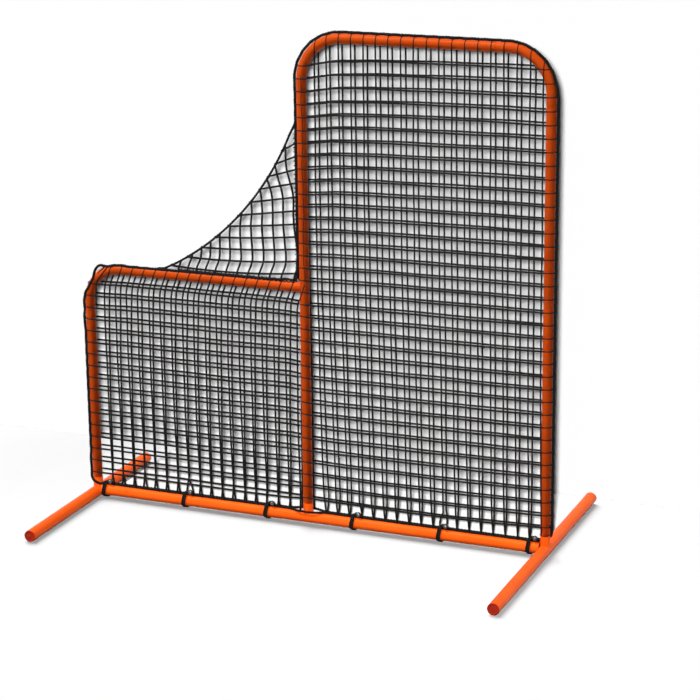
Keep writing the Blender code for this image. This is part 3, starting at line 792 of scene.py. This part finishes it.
def row_route(layer, side, row, past, first, last, columns):
    """Points of a row from its first to its last end; None is an end that wraps round to the rope."""
    def line(x):
        return x, row_height(layer, row, x)

    inside, outer = (-0.5, left_x - 0.05) if past is past_low else (0.3, mid_x - 0.05)
    starts = wrap_stations(past, line, inside, outer)[::-1] if first is None else [first]
    ends = wrap_stations(past, line, inside, right_x + 0.05) if last is None else [last]
    first, last = starts[-1], ends[0]
    between = with_middles(first, [x for x in columns if first + clear < x < last - clear], last)
    tapers = [mid_x + step for step in (-0.018, -0.006, 0.006, 0.018) if first < mid_x + step < last]
    return [on_surface(past, side, *line(x)) for x in starts + sorted(between + tapers) + ends]


def column_route(layer, side, column, past, rows):
    """Points of a column, from the bottom rope up over the top tube to the border rope."""
    def line(z):
        return column_place(layer, column, z), z

    ends = wrap_stations(past, line, 0.5, (low_z if past is past_low else top_z) + 0.05)
    between = with_middles(net_foot, [z for z in rows if net_foot < z < ends[0] - clear], ends[0])
    x = column_place(layer, column, 0.1)
    foot_x = step_aside(x, side)
    aside = rope_aside(foot_x)
    drop = [(foot_x, side * aside, rope_z + 0.002, 1), (foot_x, side * (aside + 0.002), hold_z, 1)]
    for share in (0.25, 0.5, 0.75):
        depth = aside + 0.002 + (net_depth - aside - 0.002) * share**0.8
        height = hold_z + (net_foot - rope_z - 0.008) * share
        drop.append((foot_x + (x - foot_x) * share**2, side * depth, height, 1))
    return drop + [on_surface(past, side, *line(z)) for z in sorted([net_foot] + between) + ends]


def panel(name, layer, side, past, columns, rows, first, last):
    low = past is past_low
    column_xs = [column_place(layer, column, 0.7) for column in columns]
    row_zs = [row_height(layer, row, -0.5 if low else 0.5) for row in rows]
    routes = []
    for row in rows:
        start = first
        if not low and row >= low_row_count:
            start = mid_x - 0.012 if row_height(layer, row, mid_x) < low_z + post_radius else None
        routes.append(row_route(layer, side, row, past, start, last, column_xs))
    routes += [column_route(layer, side, column, past, row_zs) for column in columns]
    net = cords(name, routes, low_twine if low else twine_radius)
    knots = []
    for row in rows:
        for column in columns:
            z = row_height(layer, row, column_place(layer, column, 0.112 + 0.055 * row))
            x = column_place(layer, column, z)
            z = row_height(layer, row, x)
            if past(x, z) < post_radius * 0.9:
                knots.append(knot_at(x, depth_at(past, x, z, side), z))
    return joined(name, [net, repeated(f"{name}_knots", knot_model, knots)])


# %% The four panels
split = mid_x - post_radius
panels = {}
for layer, (word, side) in enumerate((("front", -1), ("rear", 1))):
    panels[f"net_{word}_low"] = panel(f"{word}_low_net", layer, side, past_low, range(18),
                                      range(low_row_count), None, split)
    panels[f"net_{word}_tall"] = panel(f"{word}_tall_net", layer, side, past_tall, range(19 - layer, 38),
                                       range(row_count), split, None)
print(len(panels), "panels")

# %% [markdown]
# Three loose ends show in the photograph's front layer: the pocket at the low corner, a thin strand
# down the tall left post, and one round the right socket's top.

# %% Loose ends
pocket = [
    [(-1.0115, -0.013, 1.020), (-0.988, -0.016, 1.041), (-0.9633, -0.013, 1.066)],
    [(-0.9470, -0.013, 1.067), (-0.9560, -0.0225, 1.054), (-0.9718, -0.0250, 1.0338), (-0.9948, -0.0250, 1.003),
     (-1.0010, -0.0248, 0.9736), (-1.0042, -0.0246, 0.9391), (-1.0045, -0.0243, 0.900)],
]
panels["net_front_low"] = joined(
    "front_low_net", [panels["net_front_low"], cords("pocket", pocket, twine_radius * 0.8)])
strand = 0.0013


def on_tube(x, post_x):
    """How far in front of a post's axis a thin strand lies that runs on the post."""
    return -math.sqrt((post_radius + fit_gap + strand) ** 2 - (x - post_x) ** 2)


tall_strand, socket_strand = [], []
for z in np.linspace(low_z + 0.03, top_z - tall_bend + 0.02, 90):
    x = mid_x + 0.0085 + 0.0016 * math.sin(19 * z) + 0.0011 * math.sin(47 * z)
    tall_strand.append((x, on_tube(x, mid_x), z))
for k in range(-8, 9):
    x = right_x + post_radius * math.sin(math.radians(10.5 * k))
    socket_strand.append((x, on_tube(x, right_x), foot_socket_top + 0.004 + 0.0004 * abs(k)))
panels["net_front_tall"] = joined(
    "front_tall_net", [panels["net_front_tall"], cords("strand", [tall_strand, socket_strand], strand)])
for node, net in panels.items():
    dress(net, twine_black, node=node)
    print(net.name, sum(len(face.vertices) - 2 for face in net.data.polygons), "triangles")

# %% [markdown]
# ## Laid rope
# The border rope is laid from three strands. Each strand is a cord that winds round the route, one
# turn in 40 mm, so the rope shows its twist from any side.

# %% Helpers for laid rope
def evenly(points, step):
    """The same route with points at even steps along it."""
    points = np.asarray([tuple(point) for point in points], float)
    lengths = np.r_[0, np.cumsum(np.linalg.norm(np.diff(points, axis=0), axis=1))]
    marks = np.linspace(0, lengths[-1], max(2, round(lengths[-1] / step)))
    return np.c_[[np.interp(marks, lengths, points[:, k]) for k in range(3)]].T


def softened(points, passes=3):
    points = np.array(points)
    for _ in range(passes):
        points[1:-1] = (points[:-2] + 2 * points[1:-1] + points[2:]) / 4
    return points


def laid_rope(name, route, radius, turn_length=0.04, step=0.005):
    route = softened(evenly(route, step), 4)
    ahead = np.gradient(route, axis=0)
    ahead /= np.linalg.norm(ahead, axis=1)[:, None]
    strand = radius * 0.52
    side = np.cross(ahead[0], (0.3, 1, 0.2))
    sides = []
    for direction in ahead:
        side = side - direction * side.dot(direction)
        side /= np.linalg.norm(side)
        sides.append(side)
    sides = np.array(sides)
    third = np.cross(ahead, sides)
    length = np.arange(len(route)) * step
    windings = []
    for k in range(3):
        angle = 2 * math.pi * (length / turn_length + k / 3)
        offset = sides * np.cos(angle)[:, None] + third * np.sin(angle)[:, None]
        windings.append(route + offset * (radius - strand))
    return cords(name, windings, strand)


# %% [markdown]
# ## Border rope
# It runs outside the frame, from the left foot over the low bar, up the tall post, round the top and
# down to the right foot. The net's edge pulls it in at each strand, so it stands off in small waves
# between them. At the low corner it hangs loose of the bend, and at each foot it turns in round the post.
# The front layer pulls harder there, so on the left post and the low bar it has rolled a little forward.

# %% Route of the border rope
def quarter(at, before, after, radius, count=12):
    centre = at - before * radius + after * radius
    return [centre + (before * math.sin(a) - after * math.cos(a)) * radius
            for a in (math.pi / 2 * k / count for k in range(count + 1))]


left_out, right_out = left_x - border_out, right_x + border_out
low_out, top_out, inner_out = low_z + border_out, top_z + border_out, mid_x - border_out
rope_step, wave_height, wave_pitch, bar_turn = 0.006, 0.0017, 0.0541, 20
border = [Vector(place) for place in (
    (-1.002, -0.0075, rope_z + 0.0035), (-1.016, -0.0175, rope_z + 0.001), (-1.030, -0.0262, rope_z + 0.0045),
    (left_x - 0.004, -0.0282, rope_z + 0.012), (left_x - 0.019, -0.0205, rope_z + 0.029),
    (left_x - 0.0262, -0.008, rope_z + 0.053), (left_out, 0, rope_z + 0.085),
    (left_out, 0, 0.86), (-1.0650, -0.0215, 0.9097), (-1.0526, -0.0262, 0.9499), (-1.0319, -0.0286, 0.9809),
    (-1.0141, -0.0284, 1.0075), (-1.0090, -0.0200, 1.0378), (-1.001, -0.014, 1.062), (-0.9853, -0.013, 1.0728),
    (-0.966, -0.0135, 1.0705), (-0.9408, -0.0200, 1.0711), (-0.9121, -0.0190, 1.0777),
    (-0.8845, -0.0145, 1.0810))]
border += quarter(Vector((inner_out, 0, low_out)), X, Z, 0.02, 5)
border += quarter(Vector((inner_out, 0, top_out)), Z, X, tall_bend + border_out)
border += quarter(Vector((right_out, 0, top_out)), X, -Z, tall_bend + border_out)
border += [Vector(place) for place in (
    (right_out, 0, rope_z + 0.085), (right_x + 0.0262, 0.008, rope_z + 0.048),
    (right_x + 0.019, 0.0205, rope_z + 0.022), (right_x + 0.004, 0.0282, rope_z + 0.006),
    (1.030, 0.0262, rope_z + 0.0015), (1.016, 0.0175, rope_z + 0.001), (1.002, 0.0075, rope_z + 0.0035))]
border = evenly(border, rope_step)
waves = wave_height * np.sin(np.arange(len(border)) * rope_step * math.pi / wave_pitch) ** 2
flow = np.gradient(border, axis=0)
outward = np.c_[-flow[:, 2], np.zeros(len(flow)), flow[:, 0]]
outward /= np.maximum(np.linalg.norm(outward, axis=1), 1e-9)[:, None]
on_post = ease((border[:, 2] - 0.13) / 0.08) * ease((0.87 - border[:, 2]) / 0.09) * (border[:, 0] < -0.9)
on_bar = ease((border[:, 0] + 0.90) / 0.06) * ease((-0.1 - border[:, 0]) / 0.06) * (border[:, 2] < 1.2)
on_bar *= border[:, 2] > 0.9
on_top = ease((border[:, 2] - 1.85) / 0.15)
round_front = np.radians(55 * on_post + bar_turn * on_bar + 16 * on_top)[:, None]
border = (border + outward * border_out * (np.cos(round_front) - 1)
          - np.array(Y) * border_out * np.sin(round_front))
border_rope = laid_rope("border_rope_laid", border + outward * waves[:, None], border_radius)
dress(border_rope, rope_black, node="border_rope")
print("border rope", round(len(border) * rope_step, 2), "m long")

# %% [markdown]
# ## Bottom ropes and the web's edge
# The foot of each layer ends on its own rope, and the two lie side by side on the rail. The web has a
# rope along its curved edge, tied to the border rope at both ends.

# %% Bottom ropes and web rope
for word, side in (("front", -1), ("rear", 1)):
    xs = np.linspace(left_x + 0.0245, right_x - 0.0245, 330)
    route = [(x, side * rope_aside(x), rope_z) for x in xs]
    rope = laid_rope(f"bottom_rope_{word}_laid", route, rope_radius)
    dress(rope, rope_black, node=f"bottom_rope_{word}")

web_out, web_width, web_height, web_sag = 2 * border_radius + fit_gap, 0.61, 0.665, 0.08
web_foot = Vector((mid_x - post_radius - web_width, 0, low_height + fit_gap + web_out + rope_radius - 0.004))
web_head = Vector((mid_x - post_radius - fit_gap - web_out - rope_radius, 0, low_height + web_height))
chord = web_head - web_foot
web_bend = chord.length**2 / (8 * web_sag) + web_sag / 2
web_centre = (web_foot + web_head) / 2 + Vector((-chord.z, 0, chord.x)).normalized() * (web_bend - web_sag)


def on_edge(share):
    first, last = (web_foot - web_centre).normalized(), (web_head - web_centre).normalized()
    angle = math.acos(first.dot(last))
    ray = (first * math.sin((1 - share) * angle) + last * math.sin(share * angle)) / math.sin(angle)
    return web_centre + ray * web_bend


def web_depth(z):
    """The web's foot follows the border rope forward."""
    forward = border_out * math.sin(math.radians(bar_turn))
    return -forward * (1 - float(ease((z - low_z - border_out) / 0.12)))


bar_rope_z = low_z + border_out * math.cos(math.radians(bar_turn))
web_line = [(web_foot.x - 0.05, web_depth(0), bar_rope_z),
            (web_foot.x - 0.02, web_depth(0), bar_rope_z + 0.002)]
web_line += [(point.x, web_depth(point.z), point.z) for point in (on_edge(k / 120) for k in range(6, 116))]
web_line += [(inner_out - 0.006, 0, web_head.z + 0.004), (inner_out, 0, web_head.z + 0.024),
             (inner_out, 0, web_head.z + 0.05)]
web_rope = laid_rope("web_rope_laid", web_line, rope_radius)
dress(web_rope, rope_black, node="web_rope")
print("web rope from", [round(v, 3) for v in web_foot], "to", [round(v, 3) for v in web_head])

# %% [markdown]
# ## The web
# The web is a single layer that closes the corner between the low bar and the tall post. Its rows sag
# from the post towards the curved edge, and its columns lean near the bar. Each line runs until it
# meets the edge rope, and a cord along the post and the bar laces the web to the border rope.

# %% Strands of the web
side_x, side_z = mid_x - border_out - border_radius + 0.005, bar_rope_z + border_radius - 0.007


def web_row(row, x):
    away = side_x - x
    share = row / 10
    slope = 0.12 + 0.45 * share**4
    base = 1.1165 + 0.0553 * row - 0.011 * math.sin(math.pi * min(row / 7.5, 1))
    return base - slope * away + 0.16 * max(0, 1 - row / 5) ** 0.5 * away**2


web_rows, web_columns = 11, 12
web_marks = (1.10, 1.19, 1.255, 1.31, 1.365, 1.46, 1.505, 1.56, 1.61)
web_lean = (-2, -5, -12, -18, -19, -19, -21, -20, -19)
web_gather = (-1, -0.7, 0.7, 3, 6, 5, 4, 7, 8)


def web_column(column, z):
    base = side_x - 0.0455 - 0.0545 * (column - 1) + 0.0007 * (column - 1) ** 2
    base -= 0.024 * (1 - float(ease((z - 1.077) / 0.085)))
    base += float(np.interp(z, web_marks, web_lean) + np.interp(z, web_marks, web_gather) * (column - 1)) / 1000
    return base - 0.032 * float(ease((z - 1.42) / 0.17)) + 0.003 * math.sin(9 * z + column)


def inside_web(x, z):
    return math.hypot(x - web_centre.x, z - web_centre.z) > web_bend


def until_edge(line):
    return line[:next((k for k, (x, _, z) in enumerate(line) if not inside_web(x, z)), len(line))]


routes, knots = [], []
for row in range(web_rows):
    xs = np.linspace(side_x + 0.004, side_x - 0.62, 260)
    routes.append(until_edge([(x, web_depth(web_row(row, x)), web_row(row, x)) for x in xs]))
for column in range(web_columns):
    zs = np.linspace(side_z - 0.006, 1.75, 280)
    line = until_edge([(min(web_column(column, z), side_x + 0.002), web_depth(z), z) for z in zs])
    if len(line) > 8:
        routes.append(line)
routes = [line[::6] + [line[-1]] for line in routes]
for row in range(web_rows):
    for column in range(web_columns):
        z = 1.1165 + 0.0553 * row
        for _ in range(4):
            x = web_column(column, z)
            z = web_row(row, x)
        if inside_web(x, z) and x < side_x - 0.004 and z > side_z:
            knots.append(knot_at(x, web_depth(z), z))
edge_radius = 0.003
post_run = np.linspace(side_z + edge_radius, web_head.z - 0.03, 60)
bar_run = np.linspace(side_x - edge_radius, web_foot.x + 0.045, 60)
edge = [(x, web_depth(0), side_z + edge_radius) for x in bar_run[::-1]]
edge += [(side_x - edge_radius, web_depth(z), z) for z in post_run]


def lacing(start, along, across, length):
    """A cord that winds round the web's edge cord and into the border rope."""
    marks = np.arange(0, length, 0.0018)
    angle = 2 * math.pi * marks / 0.019
    run = np.array(start) + marks[:, None] * np.array(along)
    run = run + np.cos(angle)[:, None] * 0.0072 * np.array(across)
    return run + np.c_[0 * angle, 0.0103 * np.sin(angle), 0 * angle]


laces = [lacing((side_x - 0.001, 0, side_z + 0.008), (0, 0, 1), (1, 0, 0), web_head.z - side_z - 0.04),
         lacing((side_x - 0.008, web_depth(0), side_z + 0.001), (-1, 0, 0), (0, 0, 1),
                side_x - web_foot.x - 0.055)]
web_net = joined("web_net", [cords("web_net", routes, web_twine), cords("web_edge", [edge], edge_radius),
                             cords("web_lacing", laces, 0.0021), repeated("web_knots", knot_model, knots)])
dress(web_net, twine_black, node="net_web")
print("web:", len(routes), "strands and", len(knots), "knots")

# %% [markdown]
# ## Hitches
# Each strand ends in a hitch round its rope. A hitch is two turns of twine, modelled once, turned to
# lie along the rope and copied.

# %% Hitches on the ropes
hitch_model = coil("hitch_model", border_radius - 0.0002, 0.0013, 12, 4, 1.5, (("X", 14),))


def hitches_at(route, spots):
    """A hitch on the nearest point of a rope's route to each spot."""
    route = np.asarray(route)
    flow = np.gradient(route, axis=0)
    places = []
    for spot in spots:
        nearest = int(np.argmin(np.linalg.norm(route - np.array(spot), axis=1)))
        turn = Vector(flow[nearest]).to_track_quat("Z", "Y").to_matrix().to_4x4()
        places.append(Matrix.Translation(route[nearest]) @ turn)
    return places


spots = []
for row in range(row_count):
    spots.append((right_out, 0, row_height(0, row, right_x)))
    spots.append((left_out if row < low_row_count else inner_out, 0, row_height(0, row, mid_x)))
for column in range(38):
    height = low_out if column < 18 else top_out
    spots.append((column_place(0, column, height), 0, height))
places = hitches_at(border, spots)
for layer, side in enumerate((-1, 1)):
    for column in range(38):
        x = step_aside(column_place(layer, column, 0.1), side)
        turned = Matrix.Rotation(math.pi / 2, 4, "Y") @ Matrix.Scale(rope_radius / border_radius, 4)
        places.append(Matrix.Translation((x, side * rope_aside(x), rope_z)) @ turned)
spots = []
for row in range(web_rows):
    line = [(x, 0, web_row(row, x)) for x in np.linspace(side_x, side_x - 0.62, 300)]
    spots.append(next((point for point in line if not inside_web(point[0], point[2])), line[-1]))
places += hitches_at([on_edge(k / 120) for k in range(121)], spots)
hitches = repeated("rope_hitches", hitch_model, places)
dress(hitches, twine_black)
for model in (knot_model, hitch_model):
    bpy.data.objects.remove(model, do_unlink=True)
print(len(places), "hitches")

# %% [markdown]
# ## Ball ties
# A tie is a loop of elastic cord with a ball. It goes round the rail and both bottom ropes twice, side
# by side, and the ball holds it at the front. The cord is drawn tight round the tube and the ropes, so
# its route is the shortest one round their three circles.

# %% Loops and balls
def tight_route(x, steps=60):
    discs = [(0, 0, base_radius), (-rope_side, rope_seat, rope_radius), (rope_side, rope_seat, rope_radius)]
    route = []
    for k in range(steps):
        angle = 2 * math.pi * k / steps
        out_y, out_z = math.cos(angle), math.sin(angle)
        y, z, radius = max(discs, key=lambda disc: disc[0] * out_y + disc[1] * out_z + disc[2])
        share = 1 - 0.43 * float(ease((-out_z - 0.25) / 0.5))
        reach = radius + fit_gap + 0.0003 + cord_radius * share
        aside = 0.013 * max(0, -out_y) + 0.006 * max(0, -out_z)
        route.append((x - aside, y + out_y * reach, rail_z + z + out_z * reach, share))
    return route


cord_radius = 0.005
lift = rope_radius + fit_gap + ball_radius
ball_y = -rope_side + math.cos(math.radians(120)) * lift
ball_z = rail_z + rope_seat + math.sin(math.radians(120)) * lift


def ball(name, centre):
    """A moulded ball with a seam round it and a hole for the cord."""
    nothing_selected()
    bpy.ops.mesh.primitive_uv_sphere_add(segments=32, ring_count=20, radius=ball_radius, location=centre,
                                         rotation=(0, math.pi / 2, 0))
    piece = started(name)
    for vertex in piece.data.vertices:
        arm = vertex.co - centre
        along = abs(arm.x) / ball_radius
        if along > 0.93:
            vertex.co.x = centre.x + math.copysign(ball_radius * (0.93 - (along - 0.93) * 2.5), arm.x)
        elif along < 0.02:
            vertex.co = centre + arm * 0.985
    return smooth(piece, 50)


for number, x in enumerate(tie_places):
    loops = cords("loops", [tight_route(x - 0.0045), tight_route(x + 0.0045)], cord_radius, 2, closed=True)
    centre = Vector((x + ball_side, ball_y, ball_z))
    lead = [(x + 0.0045, ball_y + 0.0045, rail_z + rope_seat + 0.009),
            (x + 0.0075, ball_y + 0.002, ball_z - 0.003),
            (x + 0.011, ball_y, ball_z), tuple(centre), (centre.x + 0.0125, ball_y, ball_z)]
    tail = cords("tail", [softened(evenly(lead, 0.001), 5)], cord_radius * 0.8, 2)
    nothing_selected()
    bpy.ops.mesh.primitive_torus_add(
        major_radius=0.0018, minor_radius=0.0016, major_segments=14, minor_segments=8,
        location=(centre.x + 0.0122, ball_y, ball_z), rotation=(0.4, math.pi / 2, 0))
    knot = started("tail_knot")
    knot.data.shade_smooth()
    tie = joined(f"tie_{number + 1}_elastic", [loops, tail, knot])
    dress(tie, elastic_black, node=f"tie_band_{number + 1}")
    dress(ball(f"tie_{number + 1}_ball", centre), ball_black, node=f"tie_ball_{number + 1}")
print(len(tie_places), "ball ties")

# %% [markdown]
# ## Floor, paper and light
# The photograph has a white ground, soft shadows close under the tubes and a soft grey shade in every
# gap of the net. A studio gets this with white paper close behind the object and a lamp beside the
# camera: each strand's shadow falls on the paper a little below and to the right of the strand. The
# paper is graded so that this lamp lights all of it alike, and further out it fades to plain white. A
# sheet of the same paper lies behind the rail, so that the bottom gaps have the shade too.

# %% Floor and paper
lamp_place = camera_place - camera_right * 0.17 + camera_up * 0.15
lamp_power, lamp_share, paper_y, floor_z = 20000, 0.96, 0.73, -0.0005


def mixed(tree, share, first, second):
    return add(tree, "MixShader", {0: share, 1: first, 2: second})


def seen_by(tree, *kinds):
    """1 for rays of these kinds and 0 for all others."""
    rays = tree.nodes.new("ShaderNodeLightPath")
    share = rays.outputs[kinds[0]]
    for kind in kinds[1:]:
        share = add(tree, "Math", {0: share, 1: rays.outputs[kind]}, operation="MAXIMUM")
    return share


def paper(name, middle, stretch, fade, shade=0, reach=0):
    """White card that fades to plain white past fade. It has one shade, or it is graded so that the lamp,
    which is reach away from its plane, gives it lamp_share of full white all over."""
    made, tree, place = new_finish(name)
    tree.nodes.remove(tree.nodes["Principled BSDF"])
    colour = (shade, shade, shade, 1)
    if reach:
        away = add(tree, "VectorMath", {0: place, 1: lamp_place}, "Value", operation="DISTANCE")
        cube = add(tree, "Math", {0: away, 1: 3}, operation="POWER")
        grade = lamp_share * 4 * math.pi**2 / (lamp_power * reach)
        colour = add(tree, "Math", {0: cube, 1: grade}, operation="MULTIPLY")
    shift = [-a * b for a, b in zip(middle, stretch)]
    spot = add(tree, "Mapping", {"Vector": place, "Location": shift, "Scale": stretch})
    length = add(tree, "VectorMath", {0: spot}, "Value", operation="LENGTH")
    edge = add(tree, "MapRange", {"Value": length, "From Min": fade[0], "From Max": fade[1]}, "Result",
               interpolation_type="SMOOTHSTEP")
    lit, plain = add(tree, "BsdfDiffuse", {"Color": colour}), add(tree, "Emission", {})
    return made, tree, mixed(tree, edge, lit, plain)


def card(name, size, place, turn, material, tree, surface):
    """A sheet of paper that shows a surface and isn't part of the object."""
    tree.links.new(surface, tree.nodes["Material Output"].inputs["Surface"])
    nothing_selected()
    bpy.ops.mesh.primitive_plane_add(size=size, location=place, rotation=turn)
    piece = started(name)
    piece.data.materials.append(material)
    return piece


made, tree, seen = paper("studio floor", (0, 0, 0), (1, 1.25, 1), (1.45, 2.2), shade=0.155)
dull = add(tree, "BsdfDiffuse", {"Color": (0.04, 0.04, 0.04, 1)})
shown = mixed(tree, seen_by(tree, "Is Camera Ray", "Is Glossy Ray"), dull, seen)
floor = card("studio_floor", 80, (0, 0, floor_z), (0, 0, 0), made, tree, shown)

made, tree, seen = paper("studio paper", (-0.3, paper_y, 0.95), (1, 1, 1), (1.75, 2.5),
                         reach=paper_y - lamp_place.y)
behind = add(tree, "NewGeometry", {}, "Backfacing")
one_way = mixed(tree, behind, seen, add(tree, "BsdfTransparent", {}))
wall = card("studio_paper", 40, (0, paper_y, 20 + floor_z), (math.pi / 2, 0, 0), made, tree, one_way)

sheet_low, sheet_high = Vector((left_x + 0.035, 0.03, -0.0002)), Vector((right_x - 0.035, paper_y, -0.0002))
made, tree, seen = paper("studio sheet", (0, 0, 0), (1, 1, 1), (3, 4), reach=lamp_place.z)
sheet = card("studio_sheet", 1, (0, 0, 0), (0, 0, 0), made, tree, seen)
for vertex in sheet.data.vertices:
    for k in range(3):
        vertex.co[k] = sheet_high[k] if vertex.co[k] > 0 else sheet_low[k]
for piece in (wall, sheet):
    piece.visible_diffuse = piece.visible_glossy = piece.visible_transmission = piece.visible_shadow = False
print("paper stands", paper_y, "m behind the net")

# %% [markdown]
# The posts in the photograph are bright on their left and dark on their right, so the key is a sun high
# on the left. It lights the object alone, and the net throws no shadow on the tubes in it. A second sun
# gives the floor the soft shadow that lies close in front of the rail and feet. The floor tubes are
# brighter than the posts, so a low lamp in front lights those alone. A plain sky fills the rest.

# %% Lamps
def lamp(name, kind, strength, place=(0, 0, 5), way=Z):
    light = bpy.data.lights.new(name, kind)
    light.energy = strength
    made = bpy.data.objects.new(name, light)
    made.location = place
    made.rotation_euler = way.to_track_quat("Z", "Y").to_euler()
    bpy.context.scene.collection.objects.link(made)
    return made


def linked(name, pieces, state="INCLUDE"):
    """A group of pieces that a lamp lights, or leaves out."""
    group = bpy.data.collections.new(name)
    for piece in pieces:
        group.objects.link(piece)
    for entry in group.collection_objects:
        entry.light_linking.link_state = state
    return group


def sun(name, strength, way, degrees, lit, blockers):
    """A sun as wide as stated, the group that it lights and the group that throws shadows in it."""
    made = lamp(name, "SUN", strength, way=Vector(way))
    made.data.angle = math.radians(degrees)
    made.light_linking.receiver_collection = lit
    made.light_linking.blocker_collection = blockers
    return made


net_pieces = list(panels.values()) + [web_net, border_rope, web_rope, hitches]
low_tubes = linked("low_tubes", [tubes[name] for name in ("left_foot", "right_foot", "bottom_rail")])
key = sun("key", 2.9, (-0.5, -0.45, 1.25), 9, linked("not_the_paper", [floor, wall, sheet], "EXCLUDE"),
          linked("net_and_ropes", net_pieces, "EXCLUDE"))
paper_lamp = lamp("paper_lamp", "POINT", lamp_power, lamp_place)
paper_lamp.data.shadow_soft_size = 0.16
balls = [piece for piece in bpy.data.objects if piece.name.endswith("_ball")]
paper_lamp.light_linking.receiver_collection = linked("paper_and_balls", [floor, wall, sheet] + balls)
sun("ground_lamp", 18.7, (-0.56, 0.6, 1), 46, linked("the_floor", [floor]), low_tubes)
low_lamp = sun("low_tube_lamp", 3.0, (0.42, -0.65, 0.52), 20, low_tubes, low_tubes)
low_lamp.data.color = (0.93, 0.98, 0.7)
print("key", key.data.energy, "and paper lamp", paper_lamp.data.energy)

# %% Sky
sky = bpy.data.worlds.new("studio")
bpy.context.scene.world = sky
sky.use_nodes = True
tree = sky.node_tree
ambient = tree.nodes["Background"]
feed(tree, ambient, {"Color": (1, 1, 1, 1), "Strength": 0.16})
white = add(tree, "Background", {"Color": (1, 1, 1, 1), "Strength": 1})
shown = seen_by(tree, "Is Camera Ray", "Is Glossy Ray", "Is Transmission Ray")
blend = mixed(tree, shown, ambient.outputs[0], white)
tree.links.new(blend, tree.nodes["World Output"].inputs["Surface"])
bpy.context.scene.view_settings.view_transform = "Standard"
print("sky", ambient.inputs["Strength"].default_value)
